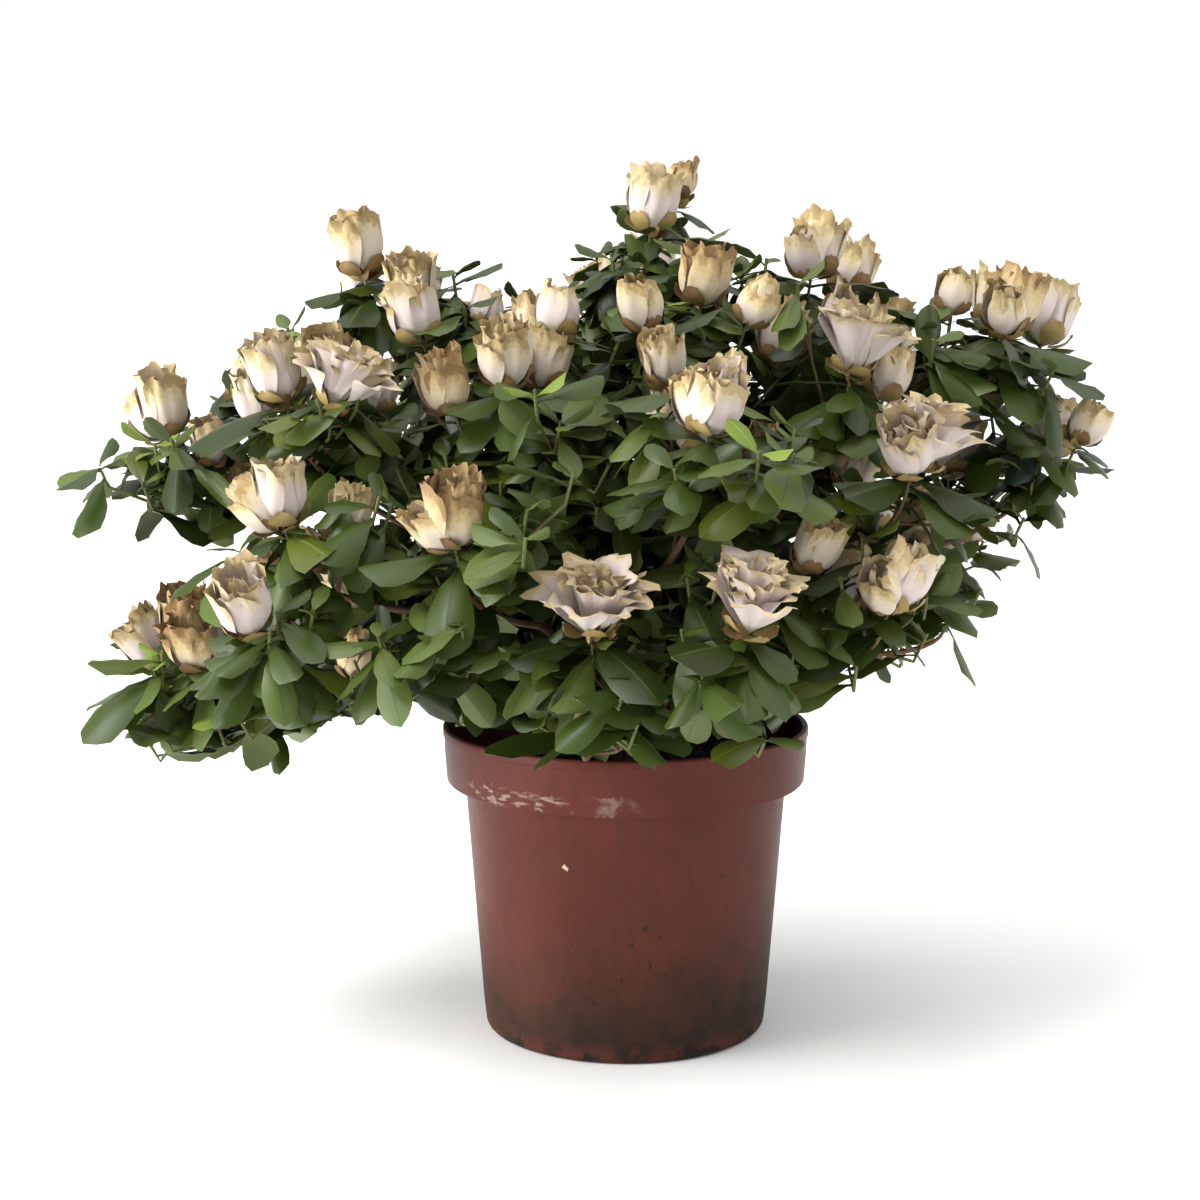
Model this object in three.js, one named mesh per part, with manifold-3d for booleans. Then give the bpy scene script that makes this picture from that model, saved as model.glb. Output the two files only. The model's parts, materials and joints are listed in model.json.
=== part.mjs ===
// A flowering azalea in a round nursery pot: pot, soil, woody stem, boughs, and masses of leafy twigs.
// Millimetres and degrees, +Z up. The origin is the middle of the pot's flat underside, and the
// plant's front is towards -Y.
import * as THREE from "three";
import { mergeVertices } from "three/addons/utils/BufferGeometryUtils.js";
import Module from "manifold-3d";

const wasm = await Module();
wasm.setup();

// ---------------------------------------------------------------- driving sizes

const CLEAR = 0.3; // the gap between two pieces that touch

// The pot: a tapering wall under a deep rim band, moulded in thin plastic.
const POT = {
  height: 127,
  rimRadius: 75,
  bandHeight: 23,
  bandTaper: 1.5,
  shoulder: 7.5, // how far the band stands out from the wall
  footRadius: 58,
  footRounding: 3,
  wall: 1.8,
  floor: 2.2,
  sides: 44,
};
const DRAIN = { count: 8, radius: 5, ring: 42, sides: 10 };

// The compost fills the pot to below its rim.
const SOIL = { top: 108, relief: 2.2, rings: 5, sides: 24, bareRadius: 15 };

// The woody stem, from its flat cut on the compost to where the boughs spread.
const STEM = {
  height: 42,
  footRadius: 10.5,
  radius: 6.4,
  tipRadius: 4.6,
  lean: 0.06, // towards +X, for each mm up
  flare: 5, // the height over which the root flare dies away
  lobes: 5,
  lobeDepth: 0.16,
  sides: 10,
};

// A bough's radii, and how far its curve reaches straight out of its root and straight into its mass.
const BOUGH = { root: 2.8, sideRoot: 2.3, tip: 1.9, sides: 5, steps: 6, reach: 0.34, lift: 0.3 };

// Every mass is grown outwards from the heart of the crown, on three-sided twigs.
const HEART = new THREE.Vector3(0, 0, 140);
const TWIG = {
  stemShare: 0.5, // a mass's stem is this much of the way from the heart to its leading whorl
  stemRadius: 1.9,
  stemSteps: 3,
  stemLow: 0.68, // a stem's lower and upper arms, as shares of its length
  stemHigh: 0.35,
  length: 46, // a side shoot's
  radius: 0.9,
  steps: 1,
  tipRadius: 0.8,
  spread: 62, // how far a side shoot leans from its stem
  lift: 0.25,
  turnOut: 0.5, // a tip turns up, and keeps this share of its outward lean
  upright: 15, // the last stretch of a side shoot is straight
  lowest: 0.1, // where on the stem its side shoots start and end
  highest: 0.68,
};
// The leaves stand in a whorl of two tiers, three to a tier, just under a shoot's tip.
const WHORL = {
  height: 11.5,
  tiers: [{ below: 9.5, lean: 104, turn: 60 }, { below: 5, lean: 78, turn: 0 }],
};
const LEAF = {
  length: 35,
  width: 21,
  widest: 0.58,
  arch: 0.07,
  foot: 2, // the height of a leaf's root on the shoot
  apart: 12, // between the middles of two shoots' leaves
  tryLean: 0.14,
};
// How far chance moves things: angles in radians, and shares of a length.
const CHANCE = {
  start: 0.06,
  shootLength: [0.85, 1.1],
  shootLean: [0.8, 1.15],
  shootTurn: 0.3,
  leafLean: 0.16,
  leafTurn: 0.15,
  leafSize: [0.84, 1.1],
};
// A shoot, leaf or blossom that doesn't fit is tried again a few times, turned or made shorter.
// A blossom that still doesn't fit comes as a bud.
const TRIES = { count: 7, turn: 0.8, shorter: 0.9, beforeBud: 3 };
const WAYPOINTS = 14; // a shoot's, when it is tried
const LIMB_GAP = 0.45; // a leaf or twig keeps this far from a limb
const CELL_GAP = 0.2; // and this far from the border of its mass's space
const CELL_LIFT = 5; // the space's middle is this far over the leading whorl
const POT_GAP = 2;
// No leaf hangs lower than the crown's foot, which rises towards the front.
const CROWN = { foot: 110, rise: 0.13 };

// Blossom forms. Each ring of a profile is a share of the radius, a share of the length, and how
// far the ring ruffles, as a share of the length again.
const BLOSSOM = {
  bud: { length: 22, radius: 7.5, sides: 6, profile: [[0.95, 0.4], [0.8, 0.8], [0, 1]] },
  goblet: { length: 25, radius: 12, sides: 8, profile: [[0.8, 0.32], [1, 1, 0.1], [0, 0.68]] },
  open: { length: 22, radius: 19, sides: 8, profile: [[0.42, 0.4], [1, 0.85, 0.14], [0, 0.6]] },
};
// What stands on a shoot's tip: one letter for each shoot of a mass.
const CLUSTERS = {
  "-": [],
  b: ["bud"],
  g: ["goblet"],
  o: ["open"],
  G: ["goblet", "bud"],
  O: ["open", "goblet"],
};
const CLUSTER_LEAN = { alone: 6, first: 12, more: 24 };

const FIRST_SEED = 8;
// The masses of foliage. Each row gives where the leading whorl stands (azimuth from +X, distance
// from the axis and height over the pot's foot), what its bough springs from and how far along, and
// its shoots' blossoms.
const MASSES = [
  ["left_shoulder", 186, 182, 247, "stem", 0.62, "Gb-g-"],
  ["left_front", 224, 172, 224, "stem", 0.4, "Gg-b-"],
  ["left_crest", 175, 106, 309, "stem", 0.88, "gb-g-"],
  ["crest", 46, 14, 326, "stem", 1, "gbg--"],
  ["mid_left", 244, 100, 272, "stem", 0.78, "Ggbb-"],
  ["middle", 281, 142, 259, "stem", 0.56, "Gb-b-"],
  ["low_right", 284, 165, 192, "stem", 0.3, "o--b-"],
  ["right_crest", 0, 74, 309, "stem", 0.86, "Gg-b-"],
  ["right_shoulder", 349, 150, 288, "stem", 0.6, "Gg-b-"],
  ["right_low", 343, 135, 182, "stem", 0.3, "-o-b-"],
  ["back_low", 95, 150, 180, "stem", 0.42, "gb-o-"],
  ["left_low", 192, 186, 158, "left_shoulder", 0.3, "G--b-"],
  ["left_upper", 214, 153, 266, "left_front", 0.42, "gbgb-"],
  ["left_under", 210, 152, 171, "left_front", 0.22, "-o-o-"],
  ["mid_left_crest", 197, 67, 298, "crest", 0.3, "gobg-"],
  ["low_left", 247, 156, 220, "mid_left", 0.32, "G-gb-"],
  ["mid_crest", 299, 57, 299, "crest", 0.5, "gGbg-"],
  ["low_middle", 265, 152, 190, "middle", 0.3, "oogo-"],
  ["skirt", 261, 112, 147, "low_right", 0.18, "b---"],
  ["right_upper", 320, 109, 274, "right_crest", 0.36, "oogb-"],
  ["right_middle", 313, 150, 243, "right_shoulder", 0.3, "Ooo--"],
  ["right_front", 308, 152, 194, "low_right", 0.34, "G-b--"],
  ["right_edge", 3, 170, 236, "right_shoulder", 0.5, "go-b-"],
  ["back_left", 135, 120, 250, "left_crest", 0.36, "gobg-"],
  ["back_crest", 80, 70, 298, "crest", 0.4, "gbog-"],
  ["back_right", 50, 125, 250, "right_crest", 0.46, "Ggob-"],
  ["back_left_low", 150, 150, 170, "back_low", 0.3, "g-ob-"],
  ["back_right_low", 30, 155, 180, "right_low", 0.3, "gb-o-"],
].map(([name, azimuth, radius, height, parent, at, blossoms], number) => ({
  name,
  azimuth,
  radius,
  height,
  parent,
  at,
  blossoms,
  seed: FIRST_SEED + number,
}));

// ---------------------------------------------------------------- materials

const finish = (color, roughness) => new THREE.MeshStandardMaterial({ color, roughness, metalness: 0 });
const POT_PLASTIC = finish(0x7d4a40, 0.5);
const COMPOST = finish(0x1c1612, 1);
const BARK = finish(0x5b4632, 0.85);
const FOLIAGE = finish(0x3c5530, 0.6);

// ---------------------------------------------------------------- small helpers

const UP = new THREE.Vector3(0, 0, 1);
const radians = THREE.MathUtils.degToRad;
const GOLDEN = radians(137.5);

// A seeded run of numbers, the same on every machine.
class Dice {
  constructor(seed) {
    this.state = Math.imul(seed, 2654435761) >>> 0;
  }

  between(low, high) {
    this.state = (Math.imul(this.state, 1664525) + 1013904223) >>> 0;
    return low + (high - low) * (this.state / 4294967296);
  }

  // As far to one side of nothing as to the other.
  either(far) {
    return this.between(-far, far);
  }
}

const plus = (point, direction, distance) => point.clone().addScaledVector(direction, distance);
const unit = (vector) => vector.clone().normalize();

function polar(azimuth, radius, height) {
  return new THREE.Vector3(radius * Math.cos(azimuth), radius * Math.sin(azimuth), height);
}

// Two directions square to this one and to each other, the first of them level.
function across(direction) {
  const level = new THREE.Vector3().crossVectors(UP, direction);
  if (level.length() < 0.05) level.set(0, 1, 0);
  level.normalize();
  return [level, new THREE.Vector3().crossVectors(direction, level)];
}

// The direction that leans from an axis by one angle, turned round it by another.
function leaning(axis, lean, turn) {
  const [level, steep] = across(axis);
  return axis.clone().multiplyScalar(Math.cos(lean))
    .addScaledVector(level, Math.sin(lean) * Math.cos(turn))
    .addScaledVector(steep, Math.sin(lean) * Math.sin(turn));
}

// A closed surface, put together from rings of points. Each ring goes round anticlockwise, as seen
// from the last one.
class Skin {
  constructor() {
    this.points = [];
    this.faces = [];
  }

  add(points) {
    this.points.push(...points);
    return points.map((_, i) => this.points.length - points.length + i);
  }

  face(...corners) {
    for (let i = 2; i < corners.length; i++) this.faces.push(corners[0], corners[i - 1], corners[i]);
  }

  middle(ring) {
    const sum = new THREE.Vector3();
    for (const corner of ring) sum.add(this.points[corner]);
    return sum.divideScalar(ring.length);
  }

  // The wall between two rings, which may differ in their number of points and be turned to each other.
  // The upper one may be a single point.
  wall(lower, upper) {
    const [from, to] = [this.middle(lower), this.middle(upper)];
    const axis = unit(to.clone().sub(from));
    const start = this.points[lower[0]].clone().sub(from);
    const angles = upper.map((corner) => {
      const spoke = this.points[corner].clone().sub(to);
      return Math.atan2(new THREE.Vector3().crossVectors(start, spoke).dot(axis), start.dot(spoke));
    });
    const nearest = Math.min(...angles.map(Math.abs));
    const first = angles.findIndex((angle) => Math.abs(angle) === nearest);
    const low = (i) => lower[i % lower.length];
    const high = (j) => upper[(first + j) % upper.length];
    const highSides = upper.length === 1 ? 0 : upper.length;
    let [i, j] = [0, 0];
    while (i < lower.length || j < highSides) {
      const ahead = angles[first] + (2 * Math.PI * (j + 1)) / highSides;
      const behind = (2 * Math.PI * (i + 1)) / lower.length <= ahead + 1e-9;
      const stepLow = j === highSides || (i < lower.length && behind);
      this.face(low(i), stepLow ? low(i + 1) : high(j + 1), high(j));
      if (stepLow) i++;
      else j++;
    }
  }

  // Walls along a run of rings, with both ends closed.
  tube(rings) {
    const rows = rings.map((ring) => this.add(ring));
    this.face(...rows[0].toReversed());
    for (let i = 1; i < rows.length; i++) this.wall(rows[i - 1], rows[i]);
    this.face(...rows.at(-1));
    return this;
  }

  geometry() {
    return new THREE.BufferGeometry().setFromPoints(this.points).setIndex(this.faces);
  }
}

// A ring of points round a centre, square to a direction.
function ringAt(centre, direction, radius, count, turn = 0) {
  const [level, steep] = across(direction);
  return Array.from({ length: count }, (_, i) => {
    const angle = turn + (2 * Math.PI * i) / count;
    return plus(plus(centre, level, radius * Math.cos(angle)), steep, radius * Math.sin(angle));
  });
}

// A closed mesh as a solid that can be cut and joined.
function solidOf(geometry) {
  const bare = new THREE.BufferGeometry().setAttribute("position", geometry.getAttribute("position"));
  bare.setIndex(geometry.index);
  const merged = mergeVertices(bare, 1e-4);
  return new wasm.Manifold(new wasm.Mesh({
    numProp: 3,
    vertProperties: merged.attributes.position.array,
    triVerts: new Uint32Array(merged.index.array),
  }));
}

function meshOf(name, solid, material) {
  const { vertProperties, triVerts } = solid.getMesh();
  const geometry = new THREE.BufferGeometry()
    .setAttribute("position", new THREE.BufferAttribute(vertProperties, 3))
    .setIndex(new THREE.BufferAttribute(triVerts, 1));
  const mesh = new THREE.Mesh(geometry, material);
  mesh.name = name;
  return mesh;
}

// A profile of [radius, height] pairs turned round the upright axis.
function turned(profile, sides) {
  const points = profile.map(([radius, height]) => new THREE.Vector2(radius, height));
  return new THREE.LatheGeometry(points, sides).rotateX(Math.PI / 2);
}

// ---------------------------------------------------------------- pot and compost

const BAND_FOOT = POT.height - POT.bandHeight;
const WALL_TOP_RADIUS = POT.rimRadius - POT.bandTaper - POT.shoulder;
const wallRadius = (height) => THREE.MathUtils.lerp(POT.footRadius, WALL_TOP_RADIUS, height / BAND_FOOT);

function pot() {
  const { height, rimRadius, bandTaper, footRadius, footRounding, wall, floor, sides } = POT;
  const outside = [
    [0, 0],
    [footRadius - footRounding, 0],
    [wallRadius(footRounding), footRounding],
    [WALL_TOP_RADIUS, BAND_FOOT - 1],
    [rimRadius - bandTaper - 1, BAND_FOOT],
    [rimRadius - bandTaper, BAND_FOOT + 1],
    [rimRadius, height - 1],
    [rimRadius - 1, height],
  ];
  const inside = [
    [rimRadius - wall, height],
    [rimRadius - bandTaper - wall, BAND_FOOT + wall],
    [WALL_TOP_RADIUS - wall, BAND_FOOT + wall],
    [wallRadius(floor) - wall, floor],
    [0, floor],
  ];
  let solid = solidOf(turned([...outside, ...inside], sides));
  for (let i = 0; i < DRAIN.count; i++) {
    const place = polar((2 * Math.PI * i) / DRAIN.count, DRAIN.ring, 0);
    const hole = new THREE.CylinderGeometry(DRAIN.radius, DRAIN.radius, 3 * floor, DRAIN.sides);
    solid = solid.subtract(solidOf(hole.rotateX(Math.PI / 2).translate(...place)));
  }
  return meshOf("pot", solid, POT_PLASTIC);
}

function soil() {
  const dice = new Dice(91);
  const foot = POT.floor + CLEAR;
  const inner = (height) => wallRadius(height) - POT.wall - CLEAR;
  // The flat-sided plug stays inside the pot's own flat-sided wall.
  const flats = Math.cos(Math.PI / SOIL.sides);
  const ring = (radius, heightOf) => Array.from({ length: SOIL.sides }, (_, i) =>
    polar((2 * Math.PI * i) / SOIL.sides, radius, heightOf(i)));
  const edge = inner(BAND_FOOT - 2);
  const rings = [
    ring(inner(foot) * flats, () => foot),
    ring(edge * flats, () => BAND_FOOT - 2),
    ring(edge * flats, () => SOIL.top - 1.5),
  ];
  for (let step = 1; step <= SOIL.rings; step++) {
    const radius = THREE.MathUtils.lerp(edge * flats, SOIL.bareRadius, step / SOIL.rings);
    const relief = step === SOIL.rings ? 0 : SOIL.relief;
    rings.push(ring(radius, () => SOIL.top - dice.between(0, relief)));
  }
  return meshOf("soil", solidOf(new Skin().tube(rings).geometry()), COMPOST);
}

// ---------------------------------------------------------------- stem and boughs

const stemRadius = (height) =>
  THREE.MathUtils.lerp(STEM.radius, STEM.tipRadius, height / STEM.height) +
  (STEM.footRadius - STEM.radius) * Math.exp(-height / STEM.flare);
const stemAxis = (height) => new THREE.Vector3(STEM.lean * height, 0, SOIL.top + CLEAR + height);

function stem() {
  const heights = [0, 2, 5, 10, 18, 30, STEM.height - 2, STEM.height];
  const rings = heights.map((height) => Array.from({ length: STEM.sides }, (_, i) => {
    const angle = (2 * Math.PI * i) / STEM.sides;
    const lobe = 1 + STEM.lobeDepth * Math.cos(STEM.lobes * angle) * Math.exp(-height / STEM.flare);
    const cap = height === STEM.height ? 0.7 : 1;
    return stemAxis(height).add(polar(angle, stemRadius(height) * lobe * cap, 0));
  }));
  return meshOf("stem", solidOf(new Skin().tube(rings).geometry()), BARK);
}

// Where a mass stands: the axis of its leading whorl, its foot at the bough's tip, and the bent stem
// between them.
function place(mass) {
  const head = polar(radians(mass.azimuth), mass.radius, mass.height);
  const along = unit(head.clone().sub(HEART));
  const axis = unit(along.clone().multiplyScalar(TWIG.turnOut).add(UP));
  const entry = unit(plus(along, UP, -BOUGH.lift));
  const stemLength = TWIG.stemShare * head.distanceTo(HEART);
  const bend = plus(head, axis, -TWIG.stemHigh * stemLength);
  const foot = plus(bend, entry, -TWIG.stemLow * stemLength);
  const base = plus(head, axis, -WHORL.height);
  const path = new THREE.QuadraticBezierCurve3(plus(foot, entry, CLEAR), bend, base);
  return { ...mass, along, axis, entry, foot, path, centre: plus(head, axis, CELL_LIFT) };
}

// The root of a bough on the stem: on its skin, pointing straight out, or on its tip, pointing up.
function rootOnStem(mass) {
  const height = mass.at * STEM.height;
  const axis = stemAxis(height);
  if (mass.at === 1) return { root: plus(axis, UP, CLEAR), out: UP, radius: BOUGH.root };
  const out = new THREE.Vector3(mass.foot.x - axis.x, mass.foot.y - axis.y, 0).normalize();
  return { root: plus(axis, out, stemRadius(height - BOUGH.root) + CLEAR), out, radius: BOUGH.root };
}

// The root of a side bough: on its parent's skin, square to it, towards the mass that it carries.
// It stands at one of the rings that the parent's limb is made of.
function rootOnBough(mass, parent) {
  const at = Math.round(mass.at * BOUGH.steps) / BOUGH.steps;
  const axis = parent.curve.getPointAt(at);
  const tangent = parent.curve.getTangentAt(at);
  const out = mass.foot.clone().sub(axis);
  out.addScaledVector(tangent, -out.dot(tangent)).normalize();
  const parentRadius = THREE.MathUtils.lerp(parent.radius, BOUGH.tip, at);
  return { root: plus(axis, out, parentRadius + CLEAR), out, radius: BOUGH.sideRoot };
}

function boughOf(mass, parent) {
  const { root, out, radius } = parent ? rootOnBough(mass, parent) : rootOnStem(mass);
  const reach = BOUGH.reach * root.distanceTo(mass.foot);
  const approach = plus(mass.foot, mass.entry, -reach);
  const curve = new THREE.CubicBezierCurve3(root, plus(root, out, reach), approach, mass.foot);
  return { name: mass.name, curve, radius };
}

function bough({ name, curve, radius }) {
  const { normals, binormals } = curve.computeFrenetFrames(BOUGH.steps, false);
  const rings = normals.map((normal, step) => Array.from({ length: BOUGH.sides }, (_, i) => {
    const thick = THREE.MathUtils.lerp(radius, BOUGH.tip, step / BOUGH.steps);
    const angle = (2 * Math.PI * i) / BOUGH.sides;
    const centre = curve.getPointAt(step / BOUGH.steps);
    return plus(plus(centre, normal, thick * Math.cos(angle)), binormals[step], thick * Math.sin(angle));
  }));
  return meshOf(`bough_${name}`, solidOf(new Skin().tube(rings).geometry()), BARK);
}

// ---------------------------------------------------------------- the space that each mass keeps to

// Points along the stem, the boughs and the masses' own stems, with the radius there and the mass
// that they belong to.
function limbPoints(boughs, masses) {
  const found = [];
  const follow = (curve, radius, tipRadius, owner) => {
    const steps = Math.ceil(curve.getLength() / 2);
    for (let i = 0; i <= steps; i++) {
      const share = i / steps;
      const thick = THREE.MathUtils.lerp(radius, tipRadius, share);
      found.push({ point: curve.getPoint(share), radius: thick, owner });
    }
  };
  const stemLine = new THREE.LineCurve3(stemAxis(0), stemAxis(STEM.height));
  follow(stemLine, STEM.radius + 1, STEM.tipRadius);
  for (const { curve, radius } of boughs) follow(curve, radius, BOUGH.tip);
  for (const { path, name } of masses) follow(path, TWIG.stemRadius, TWIG.tipRadius, name);
  return found;
}

class Space {
  constructor(mass, masses, limbs) {
    this.centre = mass.centre;
    this.others = masses.filter((other) => other !== mass).map((other) => other.centre);
    this.limbs = limbs.filter((limb) => limb.owner !== mass.name);
  }

  // True if a point is on this mass's side of each plane midway to another mass's centre, and off it.
  inCell(point, gap) {
    return this.others.every((other) => {
      const apart = other.clone().sub(this.centre);
      const middle = this.centre.clone().add(other).multiplyScalar(0.5);
      return point.clone().sub(middle).dot(apart) / apart.length() < -gap;
    });
  }

  offPot(point, gap) {
    return point.z > POT.height + gap || Math.hypot(point.x, point.y) > POT.rimRadius + gap;
  }

  offLimbs(point, gap) {
    return this.limbs.every(({ point: limb, radius }) => point.distanceTo(limb) > radius + gap);
  }

  overFoot(point, gap) {
    return point.z > CROWN.foot + CROWN.rise * Math.max(0, -point.y) + gap;
  }

  // True if points that lie this deep inside a leaf, twig or blossom keep it in the space and off all else.
  holds(points, depth) {
    return points.every((point) =>
      this.overFoot(point, depth)
      && this.inCell(point, depth + CELL_GAP)
      && this.offPot(point, depth + POT_GAP)
      && this.offLimbs(point, depth + LIMB_GAP));
  }
}

// ---------------------------------------------------------------- leaves and blossoms

// An arched, pointed blade of eight faces. It grows out of one side of a twig, between two of its rings.
class Leaf {
  constructor(twigPoint, axis, direction, size) {
    const side = new THREE.Vector3().crossVectors(axis, direction).normalize();
    const face = new THREE.Vector3().crossVectors(direction, side);
    const length = size * LEAF.length;
    const width = size * LEAF.width;
    this.middle = plus(plus(twigPoint, direction, LEAF.widest * length), face, LEAF.arch * length);
    this.root = twigPoint;
    this.tip = plus(twigPoint, direction, length);
    this.left = plus(this.middle, side, -width / 2);
    this.right = plus(this.middle, side, width / 2);
  }

  // Points spread over the blade, apart from its root.
  samples() {
    const { root, tip, left, right, middle } = this;
    const found = [tip, left, right, middle];
    for (const edge of [left, right, middle]) {
      for (const share of [0.2, 0.4, 0.6, 0.8]) found.push(root.clone().lerp(edge, share));
      for (const share of [0.25, 0.5, 0.75]) found.push(tip.clone().lerp(edge, share));
      found.push(middle.clone().lerp(edge, 0.5));
    }
    return found;
  }

  // Grows the blade from the corners of its root: low and high, on the left and on the right.
  addTo(skin, [lowLeft, lowRight, highRight, highLeft]) {
    const [tip, left, right] = skin.add([this.tip, this.left, this.right]);
    skin.face(highLeft, left, right, highRight);
    skin.face(left, tip, right);
    skin.face(lowLeft, lowRight, tip);
    skin.face(lowLeft, tip, left);
    skin.face(lowRight, right, tip);
    skin.face(lowLeft, left, highLeft);
    skin.face(lowRight, highRight, right);
  }
}

// A blossom stands on a shoot's tip, along an axis.
class Blossom {
  constructor(form, foot, axis) {
    Object.assign(this, BLOSSOM[form], { foot, axis });
  }

  samples() {
    const at = (height, share) =>
      ringAt(plus(this.foot, this.axis, height * this.length), this.axis, share * this.radius, 8);
    return [...at(0.3, 0.7), ...at(0.7, 1), ...at(1, 1)];
  }

  covers(point) {
    const reach = point.clone().sub(this.foot);
    const height = reach.dot(this.axis);
    return height > 0.2 * this.length && reach.addScaledVector(this.axis, -height).length() < this.radius;
  }

  // Rings from the foot to the ruffled rim, and down to the throat. A bud closes over its tip.
  rings() {
    return this.profile.map(([share, height, ruffle = 0]) => {
      if (share === 0) return [plus(this.foot, this.axis, height * this.length)];
      const centre = plus(this.foot, this.axis, height * this.length);
      return ringAt(centre, this.axis, share * this.radius, this.sides)
        .map((point, i) => plus(point, this.axis, (i % 2 === 0 ? ruffle : -ruffle) * this.length));
    });
  }

  // A blossom by itself, on a foot that is sunk in its twig.
  solid() {
    const foot = ringAt(plus(this.foot, this.axis, -2), this.axis, TWIG.tipRadius, 3);
    return solidOf(new Skin().tube([foot, ...this.rings()]).geometry());
  }
}

// ---------------------------------------------------------------- how a mass grows

// A leafy twig along a path. Its tip turns along the axis.
class Shoot {
  constructor({ path, axis, radius, steps, cluster }) {
    Object.assign(this, { path, axis, radius, steps, cluster, leaves: new Map(), blossoms: [] });
    this.tip = plus(path.v2, axis, WHORL.height);
  }

  waypoints() {
    return [...this.path.getPoints(WAYPOINTS).slice(2), this.tip];
  }

  // A point on the straight stretches that the twig is made of.
  pointAt(share) {
    const at = share * (this.steps + 1);
    const low = Math.floor(at);
    const [start, end] = [low, low + 1].map((step) => this.path.getPoint(step / (this.steps + 1)));
    return start.lerp(end, at - low);
  }

  // The middle of a leaf's root, and the way that this side of the twig faces.
  leafPlace(tier, side) {
    const { below, lean, turn } = WHORL.tiers[tier];
    return {
      root: plus(this.tip, this.axis, LEAF.foot / 2 - below),
      lean: radians(lean),
      turn: this.turn + radians(turn) + (2 * Math.PI * (side + 0.5)) / 3,
    };
  }

  solid() {
    const skin = new Skin();
    const rings = [];
    for (let step = 0; step <= this.steps; step++) {
      const share = step / (this.steps + 1);
      const radius = THREE.MathUtils.lerp(this.radius, TWIG.tipRadius, share);
      rings.push(skin.add(ringAt(this.path.getPoint(share), this.path.getTangent(share), radius, 3)));
    }
    WHORL.tiers.forEach(({ below, turn }, tier) => {
      for (const height of [-below, LEAF.foot - below]) {
        const centre = plus(this.tip, this.axis, height);
        rings.push(skin.add(ringAt(centre, this.axis, TWIG.tipRadius, 3, this.turn + radians(turn))));
      }
      rings.at(-2).tier = tier;
    });
    skin.face(...rings[0].toReversed());
    rings.slice(1).forEach((upper, i) => {
      const lower = rings[i];
      if (lower.tier === undefined) skin.wall(lower, upper);
      else this.addTier(skin, lower, upper);
    });
    this.addTip(skin, rings.at(-1));
    return solidOf(skin.geometry());
  }

  // One side of the twig after another, with a leaf or bare.
  addTier(skin, lower, upper) {
    for (let side = 0; side < 3; side++) {
      const next = (side + 1) % 3;
      const corners = [lower[side], lower[next], upper[next], upper[side]];
      const leaf = this.leaves.get(`${lower.tier} ${side}`);
      if (leaf) leaf.addTo(skin, corners);
      else skin.face(...corners);
    }
  }

  // The first blossom goes on from the twig's own last ring. Without one, the twig ends in a small bud.
  addTip(skin, last) {
    const [blossom] = this.blossoms;
    const rings = blossom ? blossom.rings() : [[this.tip]];
    rings.map((ring) => skin.add(ring)).reduce((lower, upper) => {
      skin.wall(lower, upper);
      return upper;
    }, last);
  }
}

// Makes a thing up to a few times, until one fits.
function firstToFit(make, fits) {
  for (let attempt = 0; attempt < TRIES.count; attempt++) {
    const made = make(attempt);
    if (fits(made)) return [made];
  }
  return [];
}

// A mass's shoots: the leading one is its stem, and the others leave that in turn, by the golden angle.
function shootsOf(mass, space, dice) {
  const { path, axis, blossoms: clusters } = mass;
  const stemSizes = { radius: TWIG.stemRadius, steps: TWIG.stemSteps };
  const sideSizes = { radius: TWIG.radius, steps: TWIG.steps };
  const shoots = [new Shoot({ path, axis, ...stemSizes, cluster: clusters[0] })];
  const firstTurn = dice.between(0, 2 * Math.PI);
  for (let i = 1; i < clusters.length; i++) {
    const share = TWIG.highest - ((TWIG.highest - TWIG.lowest) * (i - 1)) / (clusters.length - 2);
    const start = shoots[0].pointAt(share + dice.between(0, CHANCE.start));
    const fullLength = TWIG.length * dice.between(...CHANCE.shootLength);
    const grow = (attempt) => {
      const lean = radians(TWIG.spread * dice.between(...CHANCE.shootLean));
      const turn = firstTurn + i * GOLDEN + attempt * TRIES.turn + dice.either(CHANCE.shootTurn);
      const outwards = leaning(mass.along, lean, turn);
      const turnedUp = unit(plus(UP, outwards, TWIG.turnOut));
      const length = fullLength * TRIES.shorter ** attempt;
      const tip = plus(start, unit(plus(outwards, UP, TWIG.lift)), length);
      const bend = plus(tip, turnedUp, -TWIG.upright);
      const way = new THREE.QuadraticBezierCurve3(start, bend, plus(tip, turnedUp, -WHORL.height));
      return new Shoot({ path: way, axis: turnedUp, ...sideSizes, cluster: clusters[i] });
    };
    const fits = (shoot) => space.holds(shoot.waypoints(), TWIG.radius);
    shoots.push(...firstToFit(grow, fits));
  }
  return shoots;
}

function growBlossoms(shoot, space) {
  CLUSTERS[shoot.cluster].forEach((form, i, forms) => {
    const { alone, first, more } = CLUSTER_LEAN;
    const lean = radians(forms.length > 1 ? first + more * i : alone);
    const grow = (attempt) => {
      const axis = leaning(shoot.axis, lean, shoot.turn + i * Math.PI + attempt * TRIES.turn);
      return new Blossom(attempt < TRIES.beforeBud ? form : "bud", shoot.tip, axis);
    };
    shoot.blossoms.push(...firstToFit(grow, (blossom) => space.holds(blossom.samples(), 0)));
  });
}

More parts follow.
